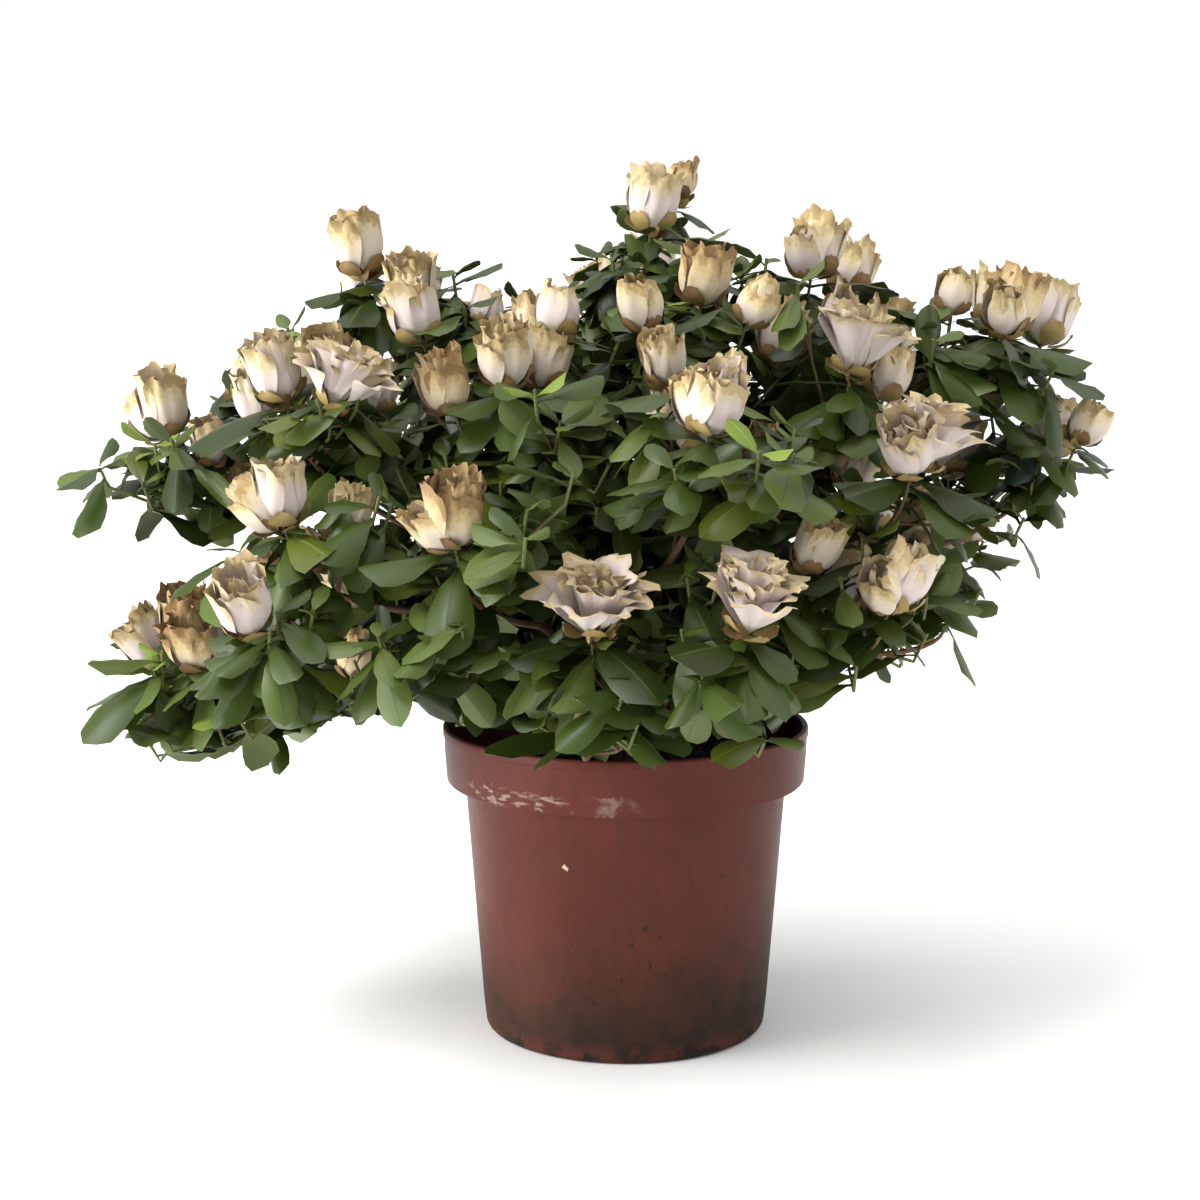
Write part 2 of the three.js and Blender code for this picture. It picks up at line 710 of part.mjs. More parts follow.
function growLeaves(shoot, neighbours, space, dice) {
  const blossoms = neighbours.flatMap((other) => other.blossoms);
  const others = neighbours.filter((other) => other !== shoot);
  const leaves = others.flatMap((other) => [...other.leaves.values()]);
  WHORL.tiers.forEach((_, tier) => {
    for (let side = 0; side < 3; side++) {
      const { root, lean, turn } = shoot.leafPlace(tier, side);
      const grow = (attempt) => {
        const leanNow = lean + attempt * LEAF.tryLean + dice.either(CHANCE.leafLean);
        const direction = leaning(shoot.axis, leanNow, turn + dice.either(CHANCE.leafTurn));
        const size = dice.between(...CHANCE.leafSize) * TRIES.shorter ** attempt;
        return new Leaf(root, shoot.axis, direction, size);
      };
      const fits = (leaf) => {
        const samples = leaf.samples();
        return leaves.every((other) => other.middle.distanceTo(leaf.middle) > LEAF.apart)
          && !blossoms.some((blossom) => samples.some((point) => blossom.covers(point)))
          && space.holds(samples, 0);
      };
      for (const leaf of firstToFit(grow, fits)) shoot.leaves.set(`${tier} ${side}`, leaf);
    }
  });
}

// One solid: the twigs, with their leaves and blossoms.
function foliage(mass, space) {
  const dice = new Dice(mass.seed);
  const shoots = shootsOf(mass, space, dice);
  for (const shoot of shoots) {
    shoot.turn = dice.either(1);
    growBlossoms(shoot, space);
  }
  for (const shoot of shoots) growLeaves(shoot, shoots, space, dice);
  const second = shoots.flatMap((shoot) => shoot.blossoms.slice(1));
  const solid = wasm.Manifold.union([...shoots, ...second].map((piece) => piece.solid()));
  return meshOf(`foliage_${mass.name}`, solid, FOLIAGE);
}

// ---------------------------------------------------------------- the whole plant

function azalea() {
  const masses = MASSES.map(place);
  const boughs = new Map();
  for (const mass of masses) boughs.set(mass.name, boughOf(mass, boughs.get(mass.parent)));
  const limbs = limbPoints([...boughs.values()], masses);

  const group = new THREE.Group();
  group.add(pot(), soil(), stem());
  for (const limb of boughs.values()) group.add(bough(limb));
  for (const mass of masses) group.add(foliage(mass, new Space(mass, masses, limbs)));
  return group;
}

export default azalea();
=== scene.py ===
"""A flowering azalea in a round nursery pot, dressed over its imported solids.

The crown grows by the seeded rule that made the solids, carried on to finer twigs, more leaves and
whole blossoms. The rule works in millimetres, and every mesh is in metres. +Z is up, the origin is
the middle of the pot's flat underside, and the plant's front is towards -Y.
"""
import json
import logging
import math
from collections.abc import Iterable, Iterator, Mapping, Sequence
from dataclasses import dataclass, field, replace
from enum import Enum, IntEnum
from typing import NamedTuple

import bmesh
import bpy
import numpy as np
from mathutils import Matrix, Vector, noise

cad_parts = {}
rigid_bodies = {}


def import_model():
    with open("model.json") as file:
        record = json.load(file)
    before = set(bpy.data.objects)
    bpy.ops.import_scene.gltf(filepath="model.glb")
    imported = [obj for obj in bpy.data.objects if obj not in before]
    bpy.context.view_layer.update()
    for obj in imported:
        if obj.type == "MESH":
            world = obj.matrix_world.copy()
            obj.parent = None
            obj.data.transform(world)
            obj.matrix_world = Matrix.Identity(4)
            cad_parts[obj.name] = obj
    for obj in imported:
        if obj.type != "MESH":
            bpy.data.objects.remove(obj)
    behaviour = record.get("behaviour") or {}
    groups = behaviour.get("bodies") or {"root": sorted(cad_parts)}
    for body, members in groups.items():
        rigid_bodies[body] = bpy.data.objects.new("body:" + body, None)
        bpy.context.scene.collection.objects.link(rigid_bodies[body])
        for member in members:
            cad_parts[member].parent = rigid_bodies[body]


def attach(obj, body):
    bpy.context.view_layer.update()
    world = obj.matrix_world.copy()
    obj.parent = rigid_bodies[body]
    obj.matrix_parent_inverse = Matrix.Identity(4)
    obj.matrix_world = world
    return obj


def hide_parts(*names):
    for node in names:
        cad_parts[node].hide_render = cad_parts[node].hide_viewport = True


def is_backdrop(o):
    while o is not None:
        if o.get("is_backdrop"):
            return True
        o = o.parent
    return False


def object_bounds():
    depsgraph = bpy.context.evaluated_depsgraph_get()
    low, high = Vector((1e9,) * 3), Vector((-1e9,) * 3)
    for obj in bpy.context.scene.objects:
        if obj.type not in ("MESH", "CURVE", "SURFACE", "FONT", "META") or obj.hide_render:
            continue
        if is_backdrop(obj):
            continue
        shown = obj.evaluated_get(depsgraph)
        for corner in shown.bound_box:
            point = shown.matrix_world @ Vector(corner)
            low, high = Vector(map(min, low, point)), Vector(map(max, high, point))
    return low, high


log = logging.getLogger("azalea")

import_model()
CAD_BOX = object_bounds()

Vec = np.ndarray
Piece = bpy.types.Object
Mesh = bpy.types.Mesh
Material = bpy.types.Material
Socket = bpy.types.NodeSocket
Pair = tuple[float, float]
Triple = tuple[float, float, float]
Tiers = tuple[tuple[float, float, int, float, float], ...]
MM = 0.001
UP = np.array((0.0, 0.0, 1.0))
GOLDEN = math.radians(137.5)
BODY = "root"
EYE = (-0.0105, -1.0, 0.336)


# ------------------------------------------------------------------ sizes of the growing rule


@dataclass(frozen=True)
class StemSizes:
    """The woody stem, from its flat cut on the compost to where the boughs spread."""

    base: float = 108.3
    height: float = 42.0
    foot_radius: float = 10.5
    radius: float = 6.4
    tip_radius: float = 4.6
    lean: float = 0.06
    flare: float = 5.0
    lobes: int = 5
    lobe_depth: float = 0.16

    def axis(self, height: float) -> Vec:
        """The middle of the stem at a height over its foot."""
        return np.array((self.lean * height, 0.0, self.base + height))

    def radius_at(self, height: float) -> float:
        """The stem's radius at a height over its foot."""
        plain = mix(self.radius, self.tip_radius, height / self.height)
        return plain + (self.foot_radius - self.radius) * math.exp(-height / self.flare)


@dataclass(frozen=True)
class BoughSizes:
    """A bough's radii, and how far its curve reaches straight out of its root and into its mass."""

    root: float = 2.8
    side_root: float = 2.3
    tip: float = 1.9
    steps: int = 6
    reach: float = 0.34
    lift: float = 0.3


@dataclass(frozen=True)
class TwigSizes:
    """The stem of a mass, and the side shoots that leave it."""

    stem_share: float = 0.5
    stem_radius: float = 1.9
    stem_steps: int = 3
    stem_low: float = 0.68
    stem_high: float = 0.35
    length: float = 46.0
    radius: float = 0.9
    steps: int = 1
    tip_radius: float = 0.8
    spread: float = 62.0
    lift: float = 0.25
    turn_out: float = 0.5
    upright: float = 15.0
    lowest: float = 0.1
    highest: float = 0.68


@dataclass(frozen=True)
class Tier:
    """Three leaves of a whorl: how far under the tip, and their lean and turn in degrees."""

    below: float
    lean: float
    turn: float


@dataclass(frozen=True)
class LeafSizes:
    """A leaf of the whorl."""

    length: float = 35.0
    width: float = 21.0
    widest: float = 0.58
    arch: float = 0.07
    foot: float = 2.0
    apart: float = 12.0
    try_lean: float = 0.14


@dataclass(frozen=True)
class Chance:
    """How far chance moves things: angles in radians, and shares of a length."""

    start: float = 0.06
    shoot_length: Pair = (0.85, 1.1)
    shoot_lean: Pair = (0.8, 1.15)
    shoot_turn: float = 0.3
    leaf_lean: float = 0.16
    leaf_turn: float = 0.15
    leaf_size: Pair = (0.84, 1.1)


@dataclass(frozen=True)
class Tries:
    """What doesn't fit is tried again a few times, turned or made shorter."""

    count: int = 7
    turn: float = 0.8
    shorter: float = 0.9
    before_bud: int = 3


class Form(Enum):
    """How far a blossom has opened: its length and its radius."""

    BUD = (22.0, 7.5)
    GOBLET = (25.0, 12.0)
    OPEN = (22.0, 19.0)

    @property
    def length(self) -> float:
        """From the foot to the rim."""
        return self.value[0]

    @property
    def radius(self) -> float:
        """At the rim."""
        return self.value[1]


STEM = StemSizes()
BOUGH = BoughSizes()
TWIG = TwigSizes()
LEAF = LeafSizes()
CHANCE = Chance()
TRIES = Tries()
HEART = np.array((0.0, 0.0, 140.0))
UPRIGHT_LIMIT = 0.0025
CURVE_STEPS = 200
LIMB_STEP = 2.0
CLEAR = 0.3
WHORL_HEIGHT = 11.5
TIERS = (Tier(9.5, 104.0, 60.0), Tier(5.0, 78.0, 0.0))
WAYPOINTS = 14
LIMB_GAP = 0.45
CELL_GAP = 0.2
CELL_LIFT = 5.0
POT_GAP = 2.0
POT_HEIGHT = 127.0
POT_RIM = 75.0
CROWN_FOOT = 110.0
CROWN_RISE = 0.13
CLUSTERS = {
    "-": (),
    "b": (Form.BUD,),
    "g": (Form.GOBLET,),
    "o": (Form.OPEN,),
    "G": (Form.GOBLET, Form.BUD),
    "O": (Form.OPEN, Form.GOBLET),
}
CLUSTER_LEAN = {"alone": 6.0, "first": 12.0, "more": 24.0}


class Mass(NamedTuple):
    """One mass of foliage: where its leading whorl stands, and what carries it.

    The azimuth is in degrees from +X, the radius from the pot's axis and the height over its foot.
    """

    name: str
    azimuth: float
    radius: float
    height: float
    parent: str
    at: float
    blossoms: str


FIRST_SEED = 8
MASSES = (
    Mass("left_shoulder", 186, 182, 247, "stem", 0.62, "Gb-g-"),
    Mass("left_front", 224, 172, 224, "stem", 0.4, "Gg-b-"),
    Mass("left_crest", 175, 106, 309, "stem", 0.88, "gb-g-"),
    Mass("crest", 46, 14, 326, "stem", 1, "gbg--"),
    Mass("mid_left", 244, 100, 272, "stem", 0.78, "Ggbb-"),
    Mass("middle", 281, 142, 259, "stem", 0.56, "Gb-b-"),
    Mass("low_right", 284, 165, 192, "stem", 0.3, "o--b-"),
    Mass("right_crest", 0, 74, 309, "stem", 0.86, "Gg-b-"),
    Mass("right_shoulder", 349, 150, 288, "stem", 0.6, "Gg-b-"),
    Mass("right_low", 343, 135, 182, "stem", 0.3, "-o-b-"),
    Mass("back_low", 95, 150, 180, "stem", 0.42, "gb-o-"),
    Mass("left_low", 192, 186, 158, "left_shoulder", 0.3, "G--b-"),
    Mass("left_upper", 214, 153, 266, "left_front", 0.42, "gbgb-"),
    Mass("left_under", 210, 152, 171, "left_front", 0.22, "-o-o-"),
    Mass("mid_left_crest", 197, 67, 298, "crest", 0.3, "gobg-"),
    Mass("low_left", 247, 156, 220, "mid_left", 0.32, "G-gb-"),
    Mass("mid_crest", 299, 57, 299, "crest", 0.5, "gGbg-"),
    Mass("low_middle", 265, 152, 190, "middle", 0.3, "oogo-"),
    Mass("skirt", 261, 112, 147, "low_right", 0.18, "b---"),
    Mass("right_upper", 320, 109, 274, "right_crest", 0.36, "oogb-"),
    Mass("right_middle", 313, 150, 243, "right_shoulder", 0.3, "Ooo--"),
    Mass("right_front", 308, 152, 194, "low_right", 0.34, "G-b--"),
    Mass("right_edge", 3, 170, 236, "right_shoulder", 0.5, "go-b-"),
    Mass("back_left", 135, 120, 250, "left_crest", 0.36, "gobg-"),
    Mass("back_crest", 80, 70, 298, "crest", 0.4, "gbog-"),
    Mass("back_right", 50, 125, 250, "right_crest", 0.46, "Ggob-"),
    Mass("back_left_low", 150, 150, 170, "back_low", 0.3, "g-ob-"),
    Mass("back_right_low", 30, 155, 180, "right_low", 0.3, "gb-o-"),
)


# ------------------------------------------------------------------ helpers of the rule


class Dice:
    """A seeded run of numbers, the same on every machine."""

    def __init__(self, seed: int) -> None:
        """Starts the run from any whole number."""
        self.state = (seed * 2654435761) & 0xFFFFFFFF

    def between(self, low: float, high: float) -> float:
        """The next number, from low up to high."""
        self.state = (self.state * 1664525 + 1013904223) & 0xFFFFFFFF
        return low + (high - low) * (self.state / 4294967296)

    def either(self, far: float) -> float:
        """The next number, as far to one side of nothing as to the other."""
        return self.between(-far, far)

    def below(self, count: int) -> int:
        """The next whole number under a count."""
        return int(self.between(0, count))

    def chance(self, share: float) -> bool:
        """True for this share of the times."""
        return self.between(0, 1) < share


def mix(low: float, high: float, share: float) -> float:
    """The number that lies a share of the way from low to high."""
    return low + (high - low) * share


def cross(a: Vec, b: Vec) -> Vec:
    """The vector square to two others."""
    return np.array((a[1] * b[2] - a[2] * b[1], a[2] * b[0] - a[0] * b[2], a[0] * b[1] - a[1] * b[0]))


def unit(vector: Vec) -> Vec:
    """The same direction, one long."""
    return vector / math.sqrt(vector @ vector)


def polar(azimuth: float, radius: float, height: float) -> Vec:
    """A point by its angle round the upright axis, its distance from it and its height."""
    return np.array((radius * math.cos(azimuth), radius * math.sin(azimuth), height))


def across(direction: Vec) -> tuple[Vec, Vec]:
    """Two directions square to this one and to each other, the first of them level.

    Args:
        direction: the direction.

    Returns:
        The two directions.
    """
    level = cross(UP, direction)
    if level @ level < UPRIGHT_LIMIT:
        level = np.array((0.0, 1.0, 0.0))
    level = unit(level)
    return level, cross(direction, level)


def leaning(axis: Vec, lean: float, turn: float) -> Vec:
    """The direction that leans from an axis by one angle, turned round it by another.

    Args:
        axis: the axis.
        lean: the angle away from it.
        turn: the angle round it.

    Returns:
        The direction.
    """
    level, steep = across(axis)
    return (
        math.cos(lean) * axis
        + math.sin(lean) * math.cos(turn) * level
        + math.sin(lean) * math.sin(turn) * steep
    )


def ring_at(centre: Vec, direction: Vec, radius: float, count: int) -> Vec:
    """Points round a centre, square to a direction, as rows of an array.

    Args:
        centre: the centre.
        direction: the direction.
        radius: the ring's radius.
        count: how many points.

    Returns:
        The points.
    """
    level, steep = across(direction)
    angles = 2 * math.pi * np.arange(count) / count
    return centre + radius * (np.outer(np.cos(angles), level) + np.outer(np.sin(angles), steep))


@dataclass(frozen=True)
class Bezier:
    """A curve by its three or four control points."""

    points: tuple[Vec, ...]

    def at(self, share: float | Vec) -> Vec:
        """The point, or the rows of points, at shares of the curve's own parameter.

        Args:
            share: one parameter, or several.

        Returns:
            The point or points.
        """
        t = np.asarray(share, dtype=float)[..., None]
        degree = len(self.points) - 1
        weights = [math.comb(degree, i) * (1 - t) ** (degree - i) * t**i for i in range(degree + 1)]
        return sum(weight * point for weight, point in zip(weights, self.points))

    def row(self, steps: int) -> Vec:
        """Points at equal steps of the parameter, both ends among them."""
        return self.at(np.arange(steps + 1) / steps)

    def lengths(self) -> Vec:
        """The length from the start to each of many equal steps."""
        strides = np.linalg.norm(np.diff(self.row(CURVE_STEPS), axis=0), axis=1)
        return np.concatenate(((0.0,), np.cumsum(strides)))

    def parameter(self, share: float) -> float:
        """The parameter at a share of the curve's length."""
        lengths = self.lengths()
        return float(np.interp(share * lengths[-1], lengths, np.arange(CURVE_STEPS + 1) / CURVE_STEPS))

    def tangent(self, share: float) -> Vec:
        """The direction of the curve at a parameter."""
        return unit(self.at(min(share + 1e-4, 1.0)) - self.at(max(share - 1e-4, 0.0)))


# ------------------------------------------------------------------ boughs and the spaces of masses


@dataclass
class Placed:
    """A mass with its place: the axis of its leading whorl, its foot and its bent stem."""

    mass: Mass
    seed: int
    along: Vec
    axis: Vec
    entry: Vec
    foot: Vec
    path: Bezier
    centre: Vec


def place(mass: Mass, seed: int) -> Placed:
    """Works out where a mass stands.

    Args:
        mass: its row.
        seed: its own seed.

    Returns:
        The placed mass.
    """
    head = polar(math.radians(mass.azimuth), mass.radius, mass.height)
    along = unit(head - HEART)
    axis = unit(along * TWIG.turn_out + UP)
    entry = unit(along - UP * BOUGH.lift)
    reach = head - HEART
    stem_length = TWIG.stem_share * math.sqrt(reach @ reach)
    bend = head - axis * TWIG.stem_high * stem_length
    foot = bend - entry * TWIG.stem_low * stem_length
    path = Bezier((foot + entry * CLEAR, bend, head - axis * WHORL_HEIGHT))
    return Placed(mass, seed, along, axis, entry, foot, path, head + axis * CELL_LIFT)


@dataclass
class Bough:
    """One tapering limb, from its parent's skin to the foot of its mass."""

    name: str
    curve: Bezier
    radius: float


def bough_of(placed: Placed, parent: Bough | None) -> Bough:
    """Works out the bough that carries a mass.

    Args:
        placed: the mass.
        parent: the bough that it springs from, or None for the stem.

    Returns:
        The bough.
    """
    mass = placed.mass
    if parent is not None:
        at = math.floor(mass.at * BOUGH.steps + 0.5) / BOUGH.steps
        radius = BOUGH.side_root
        parameter = parent.curve.parameter(at)
        axis = parent.curve.at(parameter)
        tangent = parent.curve.tangent(parameter)
        reach = placed.foot - axis
        out = unit(reach - tangent * (reach @ tangent))
        root = axis + out * (mix(parent.radius, BOUGH.tip, at) + CLEAR)
    else:
        radius = BOUGH.root
        height = mass.at * STEM.height
        axis = STEM.axis(height)
        if mass.at == 1:
            out = UP
            root = axis + UP * CLEAR
        else:
            out = unit(np.array((placed.foot[0] - axis[0], placed.foot[1] - axis[1], 0.0)))
            root = axis + out * (STEM.radius_at(height - BOUGH.root) + CLEAR)
    distance = BOUGH.reach * math.sqrt((root - placed.foot) @ (root - placed.foot))
    curve = Bezier((root, root + out * distance, placed.foot - placed.entry * distance, placed.foot))
    return Bough(mass.name, curve, radius)


class Limbs:
    """Points along the stem, the boughs and the masses' own stems, with the radius at each."""

    def __init__(self, boughs: Iterable[Bough], masses: Iterable[Placed]) -> None:
        """Collects the points.

        Args:
            boughs: every bough.
            masses: every placed mass.
        """
        self.points: list[Vec] = []
        self.radii: list[float] = []
        self.owners: list[str] = []
        line = Bezier((STEM.axis(0), STEM.axis(STEM.height / 2), STEM.axis(STEM.height)))
        self.follow(line, STEM.radius + 1, STEM.tip_radius, "")
        for bough in boughs:
            self.follow(bough.curve, bough.radius, BOUGH.tip, "")
        for placed in masses:
            self.follow(placed.path, TWIG.stem_radius, TWIG.tip_radius, placed.mass.name)

    def follow(self, curve: Bezier, radius: float, tip_radius: float, owner: str) -> None:
        """Adds points every two millimetres along a curve.

        Args:
            curve: the limb's middle line.
            radius: at its start.
            tip_radius: at its end.
            owner: the mass whose own stem it is, if any.
        """
        steps = math.ceil(curve.lengths()[-1] / LIMB_STEP)
        self.points.extend(curve.row(steps))
        self.radii.extend(mix(radius, tip_radius, i / steps) for i in range(steps + 1))
        self.owners.extend([owner] * (steps + 1))


class Space:
    """The space that a mass keeps to."""

    def __init__(self, placed: Placed, masses: Sequence[Placed], limbs: Limbs) -> None:
        """Bounds the space.

        Args:
            placed: the mass that it belongs to.
            masses: every placed mass.
            limbs: every limb.
        """
        others = np.array([other.centre for other in masses if other is not placed])
        apart = others - placed.centre
        self.normals = apart / np.linalg.norm(apart, axis=1)[:, None]
        self.offsets = np.sum((others + placed.centre) / 2 * self.normals, axis=1)
        foreign = [i for i, owner in enumerate(limbs.owners) if owner != placed.mass.name]
        self.limbs = np.array(limbs.points)[foreign]
        self.radii = np.array(limbs.radii)[foreign]

    def holds(self, points: Vec, depth: float, ease: float = 0.0) -> bool:
        """True if points keep to the space and off the pot and the limbs.

        Args:
            points: rows of points.
            depth: how deep they lie inside what they stand for.
            ease: how far they may pass the border to the next mass.

        Returns:
            Whether all of them do.
        """
        x, y, z = points.T
        if np.any(z <= CROWN_FOOT + CROWN_RISE * np.maximum(0, -y) + depth):
            return False
        if np.any(points @ self.normals.T - self.offsets >= ease - depth - CELL_GAP):
            return False
        gap = depth + POT_GAP
        if np.any((z <= POT_HEIGHT + gap) & (np.hypot(x, y) <= POT_RIM + gap)):
            return False
        apart = np.linalg.norm(points[:, None, :] - self.limbs[None, :, :], axis=2)
        return bool(np.all(apart > self.radii + depth + LIMB_GAP))


# ------------------------------------------------------------------ leaves, blossoms and shoots


class LeafTone(IntEnum):
    """The greens of the leaves; the light grey-green one is painted sheen."""

    DEEP = 0
    MIDDLE = 1
    # A light grey-green that is painted sheen, dealt to whole leaves at random.
    GREY = 2
    OLIVE = 3
    YOUNG = 4
    BLUISH = 5


@dataclass
class Leaf:
    """An arched blade on a twig: its root, its direction, and the side that faces up."""

    root: Vec
    direction: Vec
    face: Vec
    length: float
    width: float
    tone: LeafTone = LeafTone.DEEP

    @classmethod
    def on(cls, root: Vec, axis: Vec, direction: Vec, size: float) -> "Leaf":
        """A leaf from its root, its twig's direction, its own and its share of a full leaf."""
        face = cross(direction, unit(cross(axis, direction)))
        return cls(root, direction, face, size * LEAF.length, size * LEAF.width)

    @property
    def middle(self) -> Vec:
        """The middle of the blade's widest part."""
        rise = LEAF.arch * self.length
        return self.root + LEAF.widest * self.length * self.direction + rise * self.face

    def samples(self) -> Vec:
        """Points spread over the blade, apart from its root.

        Returns:
            The rows of points.
        """
        side = cross(self.face, self.direction)
        tip = self.root + self.direction * self.length
        middle = self.middle
        edges = (middle + side * self.width / 2, middle - side * self.width / 2, middle)
        found = [tip, *edges]
        for edge in edges:
            found += [mix(self.root, edge, share) for share in (0.2, 0.4, 0.6, 0.8)]
            found += [mix(tip, edge, share) for share in (0.25, 0.5, 0.75)]
            found.append(mix(middle, edge, 0.5))
        return np.array(found)


@dataclass
class Blossom:
    """A blossom on a shoot's tip, along an axis."""

    form: Form
    foot: Vec
    axis: Vec
    size: float = 1.0

    @property
    def length(self) -> float:
        """From its foot to its rim."""
        return self.form.length * self.size

    @property
    def radius(self) -> float:
        """At its rim."""
        return self.form.radius * self.size

    def samples(self) -> Vec:
        """Points round it at three heights.

        Returns:
            The rows of points.
        """
        rings = ((0.3, 0.7), (0.7, 1.0), (1.0, 1.0))
        return np.concatenate([
            ring_at(self.foot + self.axis * height * self.length, self.axis, share * self.radius, 8)
            for height, share in rings
        ])

    def covers(self, points: Vec) -> bool:
        """True if one of the points, given as rows, is inside it.

        Args:
            points: the points.

        Returns:
            Whether one is.
        """
        reach = points - self.foot
        height = reach @ self.axis
        beside = np.linalg.norm(reach - np.outer(height, self.axis), axis=1)
        return bool(np.any((height > 0.2 * self.length) & (beside < self.radius)))


@dataclass
class Shoot:
    """A leafy twig along a path, whose tip turns along the axis."""

    path: Bezier
    axis: Vec
    radius: float
    steps: int
    cluster: str = "-"
    turn: float = 0.0
    parent: "Shoot | None" = None
    leaves: list[Leaf] = field(default_factory=list)
    blossoms: list[Blossom] = field(default_factory=list)

    @property
    def is_bare(self) -> bool:
        """True if too little grows on it for it to be kept."""
        return len(self.leaves) < 3 and not self.blossoms

    @property
    def tip(self) -> Vec:
        """Where its blossoms stand."""
        return self.path.points[-1] + self.axis * WHORL_HEIGHT

    def waypoints(self) -> Vec:
        """Points along it, apart from its start."""
        return np.vstack((self.path.row(WAYPOINTS)[2:], self.tip))

    def point_at(self, share: float) -> Vec:
        """A point on the straight stretches between its steps.

        Args:
            share: the share of its length.

        Returns:
            The point.
        """
        at = share * (self.steps + 1)
        low = math.floor(at)
        start, end = self.path.at(np.array((low, low + 1)) / (self.steps + 1))
        return mix(start, end, at - low)


# ------------------------------------------------------------------ how the crown grows


@dataclass(frozen=True)
class Outline:
    """The crown as it is seen from the front: its crest and hem, its bays of open sky and its full spots.

    The crest and the hem are rows of x and z. A bay or a spot is its middle and its radius.
    """

    crest: tuple[Pair, ...] = (
        (-220, 244), (-203, 277), (-167, 280), (-131, 306), (-118, 338), (-94, 335), (-82, 316),
        (-46, 317), (-30, 308), (-14, 322), (-3, 356), (28, 356), (38, 328), (61, 338), (97, 337),
        (122, 304), (145, 324), (170, 317), (194, 285), (208, 252),
    )
    hem: tuple[Pair, ...] = (
        (-220, 122), (-203, 121), (-190, 116), (-165, 112), (-152, 122), (-130, 126), (-90, 132),
        (-60, 121), (55, 119), (75, 132), (90, 145), (112, 157), (145, 174), (157, 194), (182, 212),
        (205, 240),
    )
    bays: tuple[Triple, ...] = ((-206.0, 204.0, 22.0), (-190.0, 204.0, 12.0))
    spots: tuple[Triple, ...] = (
        (-107.0, 280.0, 46.0), (86.0, 281.0, 32.0), (108.0, 214.0, 30.0), (-180.0, 166.0, 28.0),
        (-28.0, 172.0, 24.0), (-166.0, 262.0, 20.0), (172.0, 262.0, 24.0),
        (-166.0, 190.0, 17.0),
    )
    ease: float = 7.0
    front: float = 20.0

    @staticmethod
    def seen(points: Vec) -> tuple[Vec, Vec]:
        """Where points are seen on the upright plane through the pot's axis.

        Args:
            points: rows of points.

        Returns:
            Their x and their z.
        """
        eye = np.array(EYE) / MM
        share = eye[1] / (eye[1] - points[:, 1])
        flat = eye + (points - eye) * share[:, None]
        return flat[:, 0], flat[:, 2]

    def holds(self, points: Vec) -> bool:
        """True if points lie inside the outline.

        Args:
            points: rows of points.

        Returns:
            Whether all of them do.
        """
        x, z = self.seen(points)
        inside = z < np.interp(x, *zip(*self.crest)) + self.ease
        inside &= z > np.interp(x, *zip(*self.hem))
        for bay_x, bay_z, radius in self.bays:
            inside &= np.hypot(x - bay_x, z - bay_z) > radius
        return bool(np.all(inside))

    def is_full(self, point: Vec) -> bool:
        """True if a point on the front is in a spot that is full of blossom.

        Args:
            point: the point.

        Returns:
            Whether it is.
        """
        x, z = self.seen(point[None, :])
        near = any(math.hypot(x[0] - a, z[0] - b) < radius for a, b, radius in self.spots)
        return near and point[1] < self.front


@dataclass(frozen=True)
class Finer:
    """What the crown carries beyond its solids: more leaves on each shoot, and finer side twigs.

    Tiers hold how far under the tip their leaves stand, their lean in degrees, how many there are,
    and the least and the greatest share of a full leaf.
    """

    tiers: Tiers = (
        (2.0, 48.0, 3, 0.34, 0.52), (6.5, 88.0, 3, 0.62, 0.88), (12.0, 112.0, 3, 0.74, 1.02),
    )
    twig_whorl: Tiers = (
        (2.0, 50.0, 2, 0.34, 0.5), (4.0, 78.0, 3, 0.6, 0.86), (8.0, 106.0, 3, 0.68, 0.98),
    )
    tier_turn: float = math.radians(30)
    along_share: float = 0.66
    along_step: float = 10.0
    along_lean: float = 78.0
    along_size: Pair = (0.66, 0.98)
    twigs: tuple[float, ...] = (0.3, 0.52, 0.74)
    twig_length: Pair = (20.0, 34.0)
    twig_lean: Pair = (42.0, 68.0)
    twig_radius: float = 0.65
    spurs: tuple[float, ...] = (0.4, 0.55, 0.7, 0.84, 0.96)
    spur_length: Pair = (14.0, 30.0)
    spur_lean: Pair = (50.0, 78.0)
    spur_turn: float = 0.4
    spur_rise: float = 0.7
    stray: float = 0.06
    rim_from: float = 100.0
    rim_margin: float = 6.0
    crowned: float = 0.4
    crowned_top: float = 0.75
    top_from: float = 258.0
    blossom_size: Pair = (0.78, 0.95)
    full_size: float = 1.15
    full_ease: float = 20.0
    blossom_lean: float = math.radians(10)
    young_under: float = 0.55
    young_flush: float = 0.07
    bluish: float = 0.003
    own_tone: float = 0.66
    tries: int = 3
    seed: int = 4000


@dataclass(frozen=True)
class Manner:
    """How leaves are tried: how often, their turn by chance and by try, and what they keep clear of."""

    tries: int
    turn: float
    try_turn: float
    narrow: float
    apart: float
    by_size: bool
    ease: float


WHORL_MANNER = Manner(TRIES.count, CHANCE.leaf_turn, 0.0, 1.0, LEAF.apart, False, 0.0)
FINER_MANNER = Manner(3, 0.3, 0.5, 0.86, 7.5, True, 4.0)
SPUR_MANNER = replace(FINER_MANNER, ease=60.0)


class Seat(NamedTuple):
    """Where a leaf may grow: its root, its twig's direction, its lean, its turn and its sizes."""

    root: Vec
    axis: Vec
    lean: float
    turn: float
    sizes: Pair


